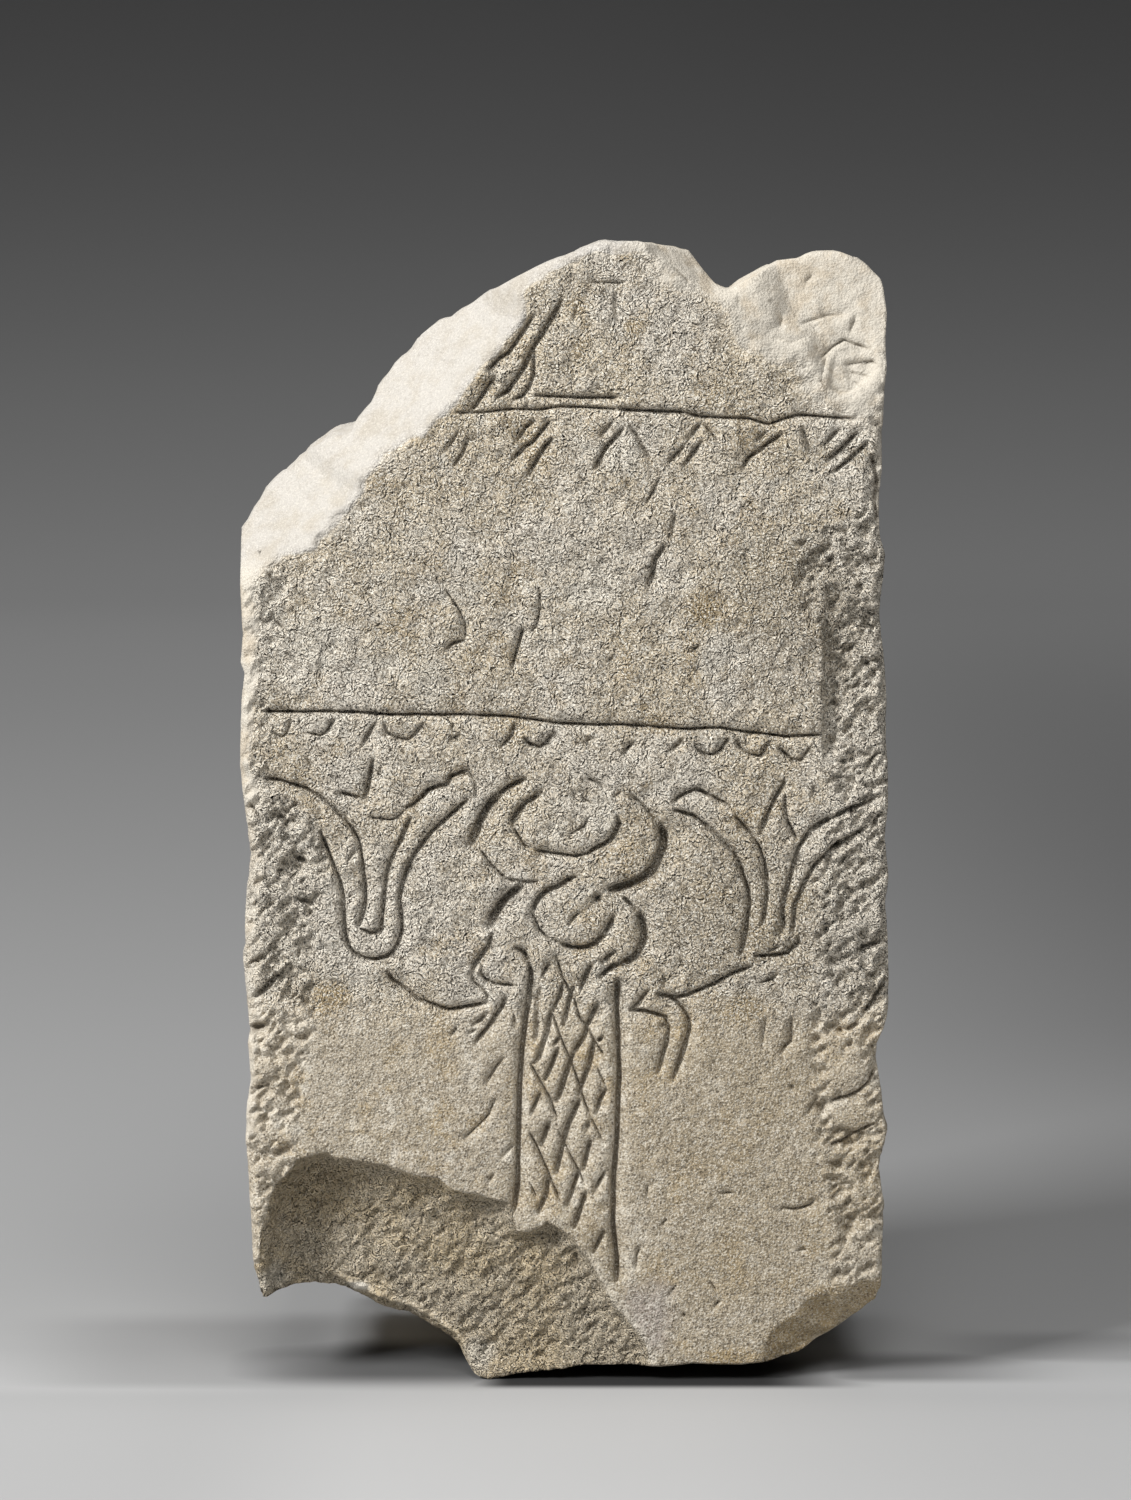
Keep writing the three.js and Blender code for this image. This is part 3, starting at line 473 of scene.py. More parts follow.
# Colours of the stone, as linear red, green and blue
STONE_GREY = (0.76, 0.69, 0.58, 1)
STONE_BEIGE = (0.65, 0.555, 0.41, 1)
STONE_LOW = (0.405, 0.345, 0.255, 1)
# Warm tan that also paints the light falling off towards the right
TAN_AND_FALLOFF = (0.34, 0.275, 0.18, 1)
STONE_DARK = (0.36, 0.305, 0.22, 1)
BAND_CREAM = (0.87, 0.79, 0.66, 1)
FRESH_CREAM = (0.50, 0.47, 0.425, 1)
FRESH_BEIGE = (0.45, 0.41, 0.35, 1)
CREST_CREAM = (0.60, 0.55, 0.465, 1)
CREST_BEIGE = (0.53, 0.46, 0.36, 1)
HOLLOW_BROWN = (0.60, 0.485, 0.315, 1)
HOLLOW_GREY = (0.575, 0.49, 0.36, 1)
OCHRE = (0.44, 0.325, 0.17, 1)
VIOLET_GREY = (0.36, 0.315, 0.30, 1)
PALE_GREY = (0.76, 0.70, 0.59, 1)
# Dirt that also paints shade: it darkens the cuts, pores, dimples and dark grains
DIRT_AND_SHADE = (0.14, 0.11, 0.075, 1)
# Pale grains that also paint highlights on the grit
PALE_GRAIN_AND_HIGHLIGHT = (0.90, 0.85, 0.74, 1)
BLACK = (0, 0, 0, 1)
WHITE = (1, 1, 1, 1)

# Washes over the stone's colour, in turn: painted share, strength and colour
WASHES = [
    # the tan wash is a warmer tone with painted dimming towards the right
    ("stained", 0.75, OCHRE), ("rough_band", 0.85, BAND_CREAM), ("tan", 0.52, TAN_AND_FALLOFF),
    ("violet", 0.6, VIOLET_GREY),
]

# The room: a floor that rises into a backdrop behind the stele, all in metres
FLOOR_REACH = 12.0
SWEEP_START = 1.9
SWEEP_RADIUS = 2.2
BACKDROP_HEIGHT = 4.0

# Greys painted on the paper at distances behind the stele, standing in for the light's falloff
# over the floor and up the backdrop, and the stretch that the greys are spread over
PAPER_START = -1.0
PAPER_LENGTH = 5.0
PAPER_FALLOFF_TONES = [
    (-0.6, 0.46), (-0.1, 0.475), (-0.05, 0.49), (0.0, 0.335), (0.1, 0.33), (0.2, 0.345), (0.45, 0.33),
    (0.8, 0.34), (1.1, 0.37), (1.4, 0.41), (1.7, 0.48), (2.0, 0.51), (2.3, 0.44), (2.6, 0.36),
    (2.85, 0.27), (3.05, 0.21), (3.3, 0.145), (3.8, 0.112),
]

# Shades painted on the floor where the stone's shadow falls, and a lit place painted under its
# overhang: edges to the right, edges away from the camera, and strength
PAINTED_FLOOR_SHADES = [
    ((-0.112, -0.05, -0.022, -0.014), (-0.045, -0.027, -0.012, 0.01), 0.74),
    ((-0.16, -0.11, -0.07, -0.05), (-0.046, -0.034, 0.015, 0.035), 0.22),
    ((-0.4, -0.2, -0.1, -0.04), (-0.3, -0.2, -0.05, -0.035), 0.13),
    ((-0.03, -0.014, 0.05, 0.085), (-0.0425, -0.037, -0.02, 0.0), 0.93),
    ((0.05, 0.078, 0.085, 0.14), (-0.038, -0.03, -0.016, -0.004), 0.5),
    ((0.09, 0.125, 0.2, 0.4), (-0.02, -0.012, 0.004, 0.016), 0.25),
    ((0.02, 0.12, 0.4, 0.6), (-0.3, -0.2, -0.05, -0.035), 0.08),
]
PAINTED_FLOOR_GLOW = ((-0.061, -0.043, -0.02, -0.01), (-0.006, 0.01, 0.03, 0.06), 0.9)

# Soft square lights: name, place, target and width in metres, and watts
LIGHTS = [
    ("key_light", (-1.3, -0.8, 1.25), (0, 0, 0.14), 0.5, 41),
    ("fill_light", (0.25, -1.35, 2.1), (0, 0, 0.14), 1.2, 24),
    ("over_light", (-0.1, 0.35, 1.9), (0, 0.05, 0), 0.9, 6),
]
AIR_STRENGTH = 0.1

# Camera: place in metres, degrees from straight down, lens and sensor width in millimetres
CAMERA_PLACE = (0, -1.0827, 0.3128)
CAMERA_TILT = 82
CAMERA_LENS = 100
CAMERA_SENSOR = 36


def smooth(low, high, value):
    """0 up to low, 1 from high on, and 3 q squared less 2 q cubed between them."""
    q = np.clip((value - low) / (high - low), 0, 1)
    return q * q * (3 - 2 * q)


def window(value, start, full, fading, end):
    """0 up to start, 1 from full to fading and 0 again from end on, smooth between them."""
    return smooth(start, full, value) * (1 - smooth(fading, end, value))


def value_noise(u, v, seed):
    """Smooth noise from -1 to 1: random values on the whole numbers, eased between them."""
    table = np.random.default_rng(seed).uniform(-1, 1, (256, 256))
    iu, iv = np.floor(u).astype(int), np.floor(v).astype(int)
    fu, fv = u - iu, v - iv
    fu, fv = fu * fu * (3 - 2 * fu), fv * fv * (3 - 2 * fv)
    iu, iv, ju, jv = iu & 255, iv & 255, (iu + 1) & 255, (iv + 1) & 255
    low = table[iu, iv] * (1 - fu) + table[ju, iv] * fu
    high = table[iu, jv] * (1 - fu) + table[ju, jv] * fu
    return low * (1 - fv) + high * fv


def rough(x, z, size, seed, octaves=3, fall=0.55):
    """Sum of smooth noise, each octave turned, half the size and fall times as strong as the last."""
    total, weight, share = 0, 1, 0
    for octave in range(octaves):
        turn = 0.6 + 1.1 * octave
        u = (x * math.cos(turn) + z * math.sin(turn)) / size
        v = (z * math.cos(turn) - x * math.sin(turn)) / size
        total = total + weight * value_noise(u + 17.3 * octave, v + 9.1 * octave, seed + octave)
        share += weight
        weight *= fall
        size /= 2
    return total / share


def scallops(x, z, size, seed, tilt=0.5):
    """Shell-shaped chips from 0 to about 1: over each cell's random middle stands a tilted bowl, and
    the lowest bowl counts, so that neighbouring chips meet in ridges."""
    u, v = x / size, z / size
    random = np.random.default_rng(seed).uniform(0, 1, (256, 256, 4))
    cell_u, cell_v = np.floor(u).astype(int), np.floor(v).astype(int)
    lowest = np.full(np.shape(u), 9.0)
    for du in (-1, 0, 1):
        for dv in (-1, 0, 1):
            cu, cv = cell_u + du, cell_v + dv
            a, b, c, d = np.moveaxis(random[cu & 255, cv & 255], -1, 0)
            pu, pv = u - cu - a, v - cv - b
            bowl = pu * pu + pv * pv + tilt * ((c - 0.5) * pu + (d - 0.5) * pv) + 0.35 * c
            lowest = np.minimum(lowest, bowl)
    return lowest


def slanted(x, z):
    """How far a place lies along the strokes of the pick, and how far across them."""
    half_root = 0.7071
    return (x + z) * half_root, (x - z) * half_root


def line_distance(x, z, points):
    """Distance from each place to a chain of straight stretches, how far along the chain the nearest
    point lies, and the chain's length."""
    best = np.full(np.shape(x), 1e9)
    along = np.zeros(np.shape(x))
    start = 0.0
    for (ax, az), (bx, bz) in zip(points[:-1], points[1:]):
        ex, ez = bx - ax, bz - az
        length = math.hypot(ex, ez)
        q = np.clip(((x - ax) * ex + (z - az) * ez) / (length * length), 0, 1)
        away = np.hypot(x - ax - q * ex, z - az - q * ez)
        nearer = away < best
        best = np.where(nearer, away, best)
        along = np.where(nearer, start + q * length, along)
        start += length
    return best, along, start


def inside(x, z, outline):
    """Distance to a closed outline, positive inside it. A place is inside if a line from it to the
    right crosses the outline an odd number of times."""
    closed = [*outline, outline[0]]
    crossed = np.zeros(np.shape(x), bool)
    for (ax, az), (bx, bz) in zip(closed[:-1], closed[1:]):
        if az != bz:
            at = ax + (z - az) * (bx - ax) / (bz - az)
            crossed ^= ((az > z) != (bz > z)) & (x < at)
    away = line_distance(x, z, closed)[0]
    return np.where(crossed, away, -away)


def follow(pairs, value):
    """The pairs' second number where their first one is value, on straight stretches between them."""
    return np.interp(value, *np.array(pairs).T)


def edge_x(edge, z):
    """The edge's x at a height."""
    xs, zs = np.array(edge).T
    return np.interp(z, zs, xs)


def cut_depth(x, z, cuts):
    """Depth of tool cuts. Each has a narrow core along its line, a gentler dip that lies off the line
    the way LEAN points, and a broad shallow one around both."""
    depth = np.zeros(np.shape(x))
    wobble = rough(x, z, 2.6, 71, 2)
    for listed_width, listed_depth, *numbers in cuts:
        points = list(zip(numbers[::2], numbers[1::2]))
        width = CUT_WIDER * listed_width + CUT_EXTRA_WIDTH
        deepest = listed_depth + CUT_EXTRA_DEPTH
        px, pz = np.array(points).T
        reach = 2.2 * (0.9 + 1.15 * width)
        near = (x > px.min() - reach) & (x < px.max() + reach)
        near &= (z > pz.min() - reach) & (z < pz.max() + reach)
        away, along, length = line_distance(x[near], z[near], points)
        shift = 0.3 + 0.25 * width
        moved = line_distance(x[near] - shift * LEAN[0], z[near] - shift * LEAN[1], points)[0]
        away = np.maximum(away + 0.13 * width * wobble[near], 0)
        end = np.minimum(along, length - along)
        taper = 0.55 + 0.45 * smooth(0, min(1.8, length / 2), end)
        core = 1 - smooth(0.1 * width, 0.54 * width, away)
        slope = np.exp(-(moved / (0.6 + 0.8 * width)) ** 2)
        broad = np.exp(-(away / (0.9 + 1.2 * width)) ** 2)
        one = CUT_DEEPER * deepest * taper * (1 + 0.18 * wobble[near])
        depth[near] = np.maximum(depth[near], one * (core + 0.38 * slope + 0.14 * broad))
    return depth


def pit_depth(x, z):
    """Single pits: a rounded bowl at each listed place."""
    depth = np.zeros(np.shape(x))
    for px, pz, radius, deepest in PITS:
        away = np.hypot(x - px, z - pz) / radius + 0.25 * rough(x, z, 2, 88, 2)
        depth = np.maximum(depth, deepest * (1 - smooth(0.2, 1.1, away)))
    return depth


def places(x, z, spots, seed):
    """1 in the middle of soft oval spots and 0 outside them, with ragged rims."""
    share = np.zeros(np.shape(x))
    for px, pz, half_width, half_height in spots:
        away = np.hypot((x - px) / half_width, (z - pz) / half_height) + 0.35 * rough(x, z, 4, seed)
        share = np.maximum(share, 1 - smooth(0.45, 1.25, away))
    return share


def smooth_share(z):
    """1 on the smooth lower face and 0 on the worn upper one."""
    return 1 - smooth(*SMOOTH_BELOW, z)


def band_share(x, z):
    """1 in the rough bands down both sides and 0 between them."""
    ragged = 1.6 * rough(x, z, 9, 301)
    left = smooth(-1.6, 2.2, follow(LEFT_BAND, z) - x + ragged)
    right = smooth(-1.6, 3.4, x - follow(RIGHT_BAND, z) + ragged)
    left = left * (0.45 + 0.55 * (1 - smooth(146, 160, z)))
    return np.maximum(left, right)


def low_bevel_share(x):
    """1 along the stretch of the lower edge where a bevel faces down, and 0 past its ends."""
    return window(x, -66, -56, -27, -22)


def break_inside(x, z):
    """How far a place lies into the break across the upper left, negative outside it."""
    outline = [*BREAK_LINE, (24, 330), (-120, 330), (-120, 196)]
    return inside(x, z, outline) + 0.5 * rough(x, z, 7, 201)


def hollow_inside(x, z):
    """How far a place lies into the hollow at the lower left, negative outside it."""
    return inside(x, z, HOLLOW_LINE) + 0.9 * rough(x, z, 4.5, 81)


def worn_depth(x, z):
    """The face as it was cut: soft and finer waves, calmer low down, with cuts, pits and chips."""
    low = smooth_share(z)
    skin = 0.22 * rough(x, z, 34, 1, 2) + (0.6 - 0.45 * low) * rough(x, z, 6, 5, 2)
    skin += (0.5 - 0.36 * low) * rough(x, z, 2.3, 9, 2)
    pitted = smooth(0.1, 0.6, rough(x, z, 15, 25, 2)) * (1 - low)
    depth = SKIN_DEPTH + skin + cut_depth(x, z, ALL_CUTS) + pit_depth(x, z)
    return depth + 0.9 * pitted * np.maximum(0, 0.5 - scallops(x, z, 3.1, 21))


def band_depth(x, z):
    """What the pick took from the side bands: large and small shells, slanting strokes and grit, but
    little of it on the proud slabs."""
    along, across = slanted(x, z)
    picks = rough(along / 2.6, across, 1.5, 41, 2)
    facets = scallops(x + 0.4 * z, z, 6.5, 43)
    coarse = (2.6 * (0.5 - facets) + 1.8 * picks + 1.2 * rough(x, z, 3.2, 47)
              + 0.9 * rough(x, z, 1.5, 48, 2))
    coarse += 1.9 * (0.5 - scallops(x + 0.3 * z, z, 2.6, 45))
    slab = places(x, z, SLABS, 57)
    coarse = coarse * (1 - 0.8 * slab) - 0.5 * slab
    return band_share(x, z) * np.maximum(coarse - 0.4, -0.5)


def step_depth(x, z):
    """The lowered place beside the panel's right end, with a sharp left side."""
    step = smooth(0, 1.6, x - 65.3 + 0.5 * rough(x, z, 6, 49))
    step = step * smooth(160, 168, z) * (1 - smooth(196, 202, z))
    return STEP_DEPTH * step * (1 - 0.6 * smooth(69, 76, x))


def arris_depth(x, z):
    """The worn arris: a quarter of an ellipse along the outline, wider at the left, narrow below."""
    edge = np.minimum.reduce([
        x - edge_x(LEFT_EDGE, z), edge_x(RIGHT_EDGE, z) - x,
        follow(UPPER_EDGE, x) - z, z - follow(LOWER_EDGE, x),
    ])
    worn = ARRIS_RADIUS * (1 + 0.5 * rough(x, z, 11, 51, 2))
    worn = worn * (1 + 0.7 * (1 - smooth(-78, -70, x)))
    worn = worn * (1 - 0.55 * smooth(12, 6, z) * smooth(-24, -14, x))
    ratio = np.clip(1 - np.maximum(edge, 0) / worn, 0, 1)
    return worn * (1 - np.sqrt(1 - 0.96 * ratio * ratio))


def fresh_flakes(x, z):
    """Large shells and fine grit of freshly broken stone."""
    shells = 0.6 - scallops(x - 0.4 * z, z + 0.2 * x, 13, 61)
    return shells + 0.35 * rough(x, z, 5, 63) + 0.16 * rough(x, z, 2.2, 67, 2)


def break_depth(x, z, fresh):
    """The break across the upper left: a slope that starts gently at its line."""
    broken = break_inside(x, z)
    bevel = BREAK_SLOPE * (np.hypot(np.maximum(broken, 0), BREAK_EASE) - BREAK_EASE)
    return np.minimum(bevel, BREAK_DEPTH) + fresh * smooth(0, 7, broken) - 0.1


def crest_depth(x, z, fresh):
    """The broken crest: it leans back with height, more gently near x = 50, and has a valley below
    the notch, flakes and cracks."""
    notch = inside(x, z, CREST_BREAK) + 0.6 * rough(x, z, 5, 207)
    within = smooth(0, 6, notch)
    gentle = 9 + 12 * np.exp(-((x - 50) / 8) ** 2)
    sloping = 0.5 * (1 - np.exp(-np.maximum(notch, 0) / 6))
    sloping += SPALL_SLOPE * np.maximum(z - SPALL_FOOT, 0) * smooth(0, gentle, notch)
    valley = VALLEY_DEPTH * np.exp(-(line_distance(x, z, NOTCH_VALLEY)[0] / 5) ** 2) * within
    flaked = 0.8 * (0.5 - scallops(x + 0.3 * z, z, 5.5, 69)) + 0.35 * rough(x, z, 2, 73, 2)
    flaked = (0.5 * fresh + flaked * smooth(292, 270, z)) * within
    cracks = 0.6 * cut_depth(x, z, CREST_CUTS)
    return np.where(notch > 0, sloping + valley + flaked + cracks, 0)


def hollow_depth(x, z):
    """The hollow's floor: a depth listed along x with shells and slanting grit, deeper at the lower
    left, shallower at the tip and bevelled along the lower edge."""
    along, across = slanted(x, z)
    floor = follow(HOLLOW_FLOOR, x) + 1.1 * (0.4 - scallops(x, z, 12, 83))
    floor += (0.7 * rough(x, z, 3.0, 85) + 0.6 * scallops(x, z, 4.2, 87)
              + 0.9 * rough(along / 1.8, across, 1.4, 89, 2))
    floor += 1.5 * smooth(30, 14, z) * smooth(-40, -70, x)
    floor *= 1 - 0.6 * smooth(9, 1, z) * smooth(-34, -26, x)
    return floor + 1.3 * np.maximum(3.2 - (z - follow(LOWER_EDGE, x)), 0) * low_bevel_share(x)


def corner_depth(x, z):
    """The lost corner at the lower right: a ragged slope with chips."""
    corner = inside(x, z, CORNER_LINE) + 1.3 * rough(x, z, 4.5, 91)
    chipped = 2.4 * (0.5 - scallops(x, z, 8, 93)) + 0.9 * rough(x, z, 4, 95)
    return np.where(corner > 0, CORNER_SLOPE * corner + chipped * smooth(0, 3, corner), 0)


def face_depth(x, z):
    """Depth of the front behind the face plane: the worn and picked face with its cuts, then every
    break that goes deeper than it."""
    depth = worn_depth(x, z) + band_depth(x, z) + step_depth(x, z) + arris_depth(x, z)
    fresh = fresh_flakes(x, z)
    depth = np.maximum(depth, break_depth(x, z, fresh))
    depth = np.maximum(depth, crest_depth(x, z, fresh))
    depth += FLAKE_DEPTH * smooth(0, 1.2, inside(x, z, SPALL_SMOOTH)) * smooth(275, 255, z)
    hollow = hollow_inside(x, z)
    eased = 1 - np.exp(-np.maximum(hollow, 0) / follow(HOLLOW_EASING, x))
    depth = np.where(hollow > 0, np.maximum(depth, hollow_depth(x, z) * eased), depth)
    return np.maximum(depth, corner_depth(x, z))


def lerp_path(points, share):
    """Points evenly spaced along x or z, whichever the path mostly runs in."""
    xs, zs = np.array(points).T
    if abs(xs[-1] - xs[0]) > abs(zs[-1] - zs[0]) * 0.9:
        x = xs[0] + (xs[-1] - xs[0]) * share
        return np.stack([x, np.interp(x, xs, zs)], -1)
    z = zs[0] + (zs[-1] - zs[0]) * share
    return np.stack([np.interp(z, zs, xs), z], -1)


def patch(lower, upper, left, right, columns, rows):
    """Grid that fits four edges: the blend of the lower and upper edge, plus the blend of the left and
    right edge, less the blend of the four corners."""
    s = np.linspace(0, 1, columns + 1)[:, None, None]
    t = np.linspace(0, 1, rows + 1)[None, :, None]
    low, high = lower(s[:, 0, 0])[:, None], upper(s[:, 0, 0])[:, None]
    west, east = left(t[0, :, 0])[None], right(t[0, :, 0])[None]
    corners = ((1 - s) * (1 - t) * low[:1] + s * (1 - t) * low[-1:]
               + (1 - s) * t * high[:1] + s * t * high[-1:])
    return (1 - t) * low + t * high + (1 - s) * west + s * east - corners


def grid_indices(columns, rows):
    """Indices of a grid's points, by column and row."""
    return np.arange((columns + 1) * (rows + 1)).reshape(columns + 1, rows + 1)


def rim_indices(columns, rows):
    """Indices of a grid's rim, once round: lower edge, right edge, upper edge, left edge."""
    index = grid_indices(columns, rows)
    return np.concatenate([index[:-1, 0], index[-1, :-1], index[:0:-1, -1], index[0, :0:-1]])


def grid_quads(columns, rows, turned=False):
    """Four corners for each cell of a grid, the other way round if turned."""
    index = grid_indices(columns, rows)
    quads = np.stack([index[:-1, :-1], index[1:, :-1], index[1:, 1:], index[:-1, 1:]], -1)
    quads = quads.reshape(-1, 4)
    return quads[:, ::-1] if turned else quads


def halving_triangles(outer, inner):
    """Three triangles for each two steps of a ring, down to a ring with half as many points."""
    a, b, c = outer[0::2], outer[1::2], np.roll(outer, -2)[0::2]
    d, e = inner, np.roll(inner, -1)
    corners = ([b, a, d], [b, d, e], [c, b, e])
    return np.concatenate([np.stack(three, -1) for three in corners])


def ring_quads(outer, inner):
    """Four corners for each step between two rings of equal length."""
    return np.stack([np.roll(outer, -1), outer, inner, np.roll(inner, -1)], -1)


def rear_outline(front):
    """The rim's places at the back: pulled in a little at the sides and the top, and down to the
    floor where the foot's front edge is raised."""
    x, z = front[:, 0].copy(), front[:, 1].copy()
    foot = window(x, -16, -4, 47, 60) * smooth(8, 5, z)
    z = np.where(z < 8, z - np.minimum(z, FOOT_RISE + 1) * foot, z)
    z = z - TOP_PULL * smooth(240, 285, z)
    middle = 1 - smooth(60, 80, np.abs(x))
    x = x - SIDE_PULL * np.sign(x) * (1 - middle)
    return np.stack([x, np.maximum(z, 0)], -1)


def wall_ring(rim, outward, share):
    """A ring of the sides, share of the way from the front's rim to the back: it moves over to the
    rear outline, is chipped between both ends except on the floor, and is rounded at the back."""
    flat, run = rim[:, [0, 2]], np.arange(len(rim)) * RIM_STEP
    y = rim[:, 1] + (BACK_Y - rim[:, 1]) * share
    place = flat + (rear_outline(flat) - flat) * smooth(0, 0.45, share)
    rise = window(share, 0, 0.08, 0.93, 1.0)
    coarse = 2.2 * (scallops(run, y, 12, 111) - 0.45) + 0.7 * rough(run, y, 5, 113)
    on_floor = (place[:, 1] < 0.6) & (np.abs(place[:, 0] - 14) < 40)
    coarse = np.where(on_floor, 0, coarse)
    near_back = np.clip((y - BACK_Y + BACK_ARRIS) / BACK_ARRIS, 0, 1)
    chamfer = BACK_ARRIS * (1 - np.sqrt(1 - near_back ** 2))
    place = place - outward * (np.maximum(coarse, -0.5) * rise + chamfer * 0.75)[:, None]
    return np.stack([place[:, 0], y, np.maximum(place[:, 1], 0)], -1)


def wall_rings(rim):
    """All rings of the sides, thinned out to every COARSE-th point, and the back's outline."""
    flat = rim[:, [0, 2]]
    tangent = np.roll(flat, -RIM_REACH, 0) - np.roll(flat, RIM_REACH, 0)
    tangent /= np.linalg.norm(tangent, axis=1)[:, None]
    outward = np.stack([tangent[:, 1], -tangent[:, 0]], -1)
    return [wall_ring(rim, outward, share)[::min(2 ** (i + 1), COARSE)]
            for i, share in enumerate([*WALL_SHARES, 1.0])]


def back_points(outline):
    """The roughly dressed back, as a grid that fits its outline."""
    low, right, top = (n // COARSE for n in (COLUMNS, COLUMNS + ROWS, 2 * COLUMNS + ROWS))
    closed = np.concatenate([outline, outline[:1]])
    sides = [closed[:low + 1], closed[right:top + 1][::-1], closed[top:][::-1], closed[low:right + 1]]

    def along(side):
        return lambda share: side[np.rint(share * (len(side) - 1)).astype(int)]
    x, z = patch(*map(along, sides), *BACK_GRID).reshape(-1, 2).T
    dressed = 2.2 * scallops(x + 0.3 * z, z, 15, 131) + 0.8 * rough(x, z, 7, 133)
    return np.stack([x, BACK_Y - np.maximum(dressed, 0), z], -1)


def stone_points():
    """The whole closed surface in millimetres: the carved front as a depth over a grid that fits the
    outline, the sides as rings that thin out behind it, and the back as a coarser grid."""
    def path(edge):
        return lambda share: lerp_path(edge, share)
    edges = [path(edge) for edge in (LOWER_EDGE, UPPER_EDGE, LEFT_EDGE, RIGHT_EDGE)]
    x, z = patch(*edges, COLUMNS, ROWS).reshape(-1, 2).T
    front = np.stack([x, FACE_Y + face_depth(x, z), z], -1)
    previous, offset = rim_indices(COLUMNS, ROWS), len(front)
    *rings, last = wall_rings(front[previous])

    quads, triangles = [grid_quads(COLUMNS, ROWS)], []
    for ring in rings:
        index = offset + np.arange(len(ring))
        if len(index) < len(previous):
            triangles.append(halving_triangles(previous, index))
        else:
            quads.append(ring_quads(previous, index))
        previous, offset = index, offset + len(ring)
    quads.append(ring_quads(previous, offset + rim_indices(*BACK_GRID)))
    quads.append(offset + grid_quads(*BACK_GRID, turned=True))
    points = np.concatenate([front, *rings, back_points(last[:, [0, 2]])])
    return points, np.concatenate(quads), np.concatenate(triangles)


def build_mesh(name, points, quads, triangles):
    """A mesh from points in metres and its faces."""
    mesh = bpy.data.meshes.new(name)
    corners = np.concatenate([quads.ravel(), triangles.ravel()])
    sizes = np.concatenate([np.full(len(quads), 4), np.full(len(triangles), 3)])
    mesh.vertices.add(len(points))
    mesh.vertices.foreach_set("co", points.astype(np.float32).ravel())
    mesh.loops.add(len(corners))
    mesh.loops.foreach_set("vertex_index", corners.astype(np.int32))
    mesh.polygons.add(len(sizes))
    mesh.polygons.foreach_set("loop_start", (np.cumsum(sizes) - sizes).astype(np.int32))
    mesh.update(calc_edges=True)
    mesh.validate()
    return mesh


def fresh_share(x, y, z, front, ahead):
    """Where the stone is freshly broken: the break, the crest, small chips and most of the rims."""
    ragged = rough(x, z, 7, 405, 4)
    broken = smooth(-1.5, 3.5, break_inside(x, z) + 2.4 * ragged)
    crest = inside(x, z, CREST_BREAK)
    notch = smooth(-1, 4, crest + 1.5 * ragged) * (1 - smooth(46, 54, x))
    spall = smooth(-7, 3, crest + 5 * ragged) * smooth(35, 43, x)
    left_rim = 1 - smooth(2.2, 4.2, x - edge_x(LEFT_EDGE, z) + 2.4 * rough(x, z, 9, 403))
    left_rim *= smooth(60, 66, z) * (0.6 + 0.4 * smooth(146, 160, z + 6 * ragged))
    right_rim = 1 - smooth(0.8, 2.2, edge_x(RIGHT_EDGE, z) - x + 0.9 * ragged)
    right_rim *= smooth(218, 232, z) * (1 - smooth(FACE_Y + 3, FACE_Y + 12, y))
    below_top = follow(UPPER_EDGE, x) - z
    upper_rim = 1 - smooth(1.4, 3.6, below_top + 1.6 * ragged)
    rear_rim = (1 - ahead) * smooth(5, 2, below_top + 2 * ragged)
    low_rim = z - follow(LOWER_EDGE, x) + 0.8 * rough(x, z, 5, 407, 2)
    chipped = window(low_rim, 2.2, 3.0, 4.0, 5.4) * low_bevel_share(x)
    chips = places(x, z, FRESH_PLACES, 451)
    return np.maximum.reduce([
        broken * ahead, notch * ahead, 0.95 * spall * ahead, 0.8 * upper_rim * ahead, rear_rim,
        0.9 * left_rim * front, 0.8 * right_rim, 0.7 * chipped * front, 0.9 * chips * front,
    ])


def paint(mesh):
    """Writes at every point how much of each finish it has, from 0 to 1."""
    co = np.empty(len(mesh.vertices) * 3, np.float32)
    mesh.vertices.foreach_get("co", co)
    x, y, z = co.reshape(-1, 3).T / MM
    x = x + DRAWN_MIDDLE
    front = 1 - smooth(FACE_Y + 20, FACE_Y + 36, y)
    ahead = 1 - smooth(BACK_Y - 8, BACK_Y - 3, y)
    side = window(y, FACE_Y + 3, FACE_Y + 9, BACK_Y - 4, BACK_Y)
    hollow = smooth(-0.2, 0.8, inside(x, z, HOLLOW_LINE))
    corner = smooth(-0.2, 0.8, inside(x, z, CORNER_LINE))
    chips = places(x, z, FRESH_PLACES, 451)
    hollow_rim = np.exp(-((hollow_inside(x, z) + 0.4) / 0.9) ** 2)
    hollow_rim *= window(x, 2, 9, 22, 26)
    crest = smooth(12, 22, x) * smooth(214, 230, z)
    left_end = smooth(-70, -74, x) * smooth(216, 208, z)
    layers = {
        "fresh": fresh_share(x, y, z, front, ahead),
        "crest": np.maximum(crest, left_end),
        "hollow": np.maximum(hollow * (1 - chips) * ahead, 0.8 * side * smooth(30, 10, z)),
        "smooth_face": smooth_share(z) * front * (1 - hollow),
        "rough_band": band_share(x, z) * (0.1 + 0.9 * smooth(80, 125, z)) * front,
        "pale": np.maximum(places(x, z, PALE_PLACES, 411), 0.9 * hollow_rim) * front,
        "stained": np.maximum(places(x, z, STAIN_PLACES, 421) * front, corner * ahead),
        "violet": places(x, z, VIOLET_PLACES, 431) * front,
        # dirt with painted shade in the cuts, stronger where they are deeper
        "cut": smooth(0.8, 2.1, cut_depth(x, z, ALL_CUTS + CREST_CUTS)) * front,
        # warmer tone with painted dimming towards the right
        "tan": places(x, z, TAN_AND_FALLOFF_PLACES, 441) * front,
    }
    for name, share in layers.items():
        layer = mesh.attributes.new(name, "FLOAT", "POINT")
        layer.data.foreach_set("value", np.clip(share, 0, 1).astype(np.float32))


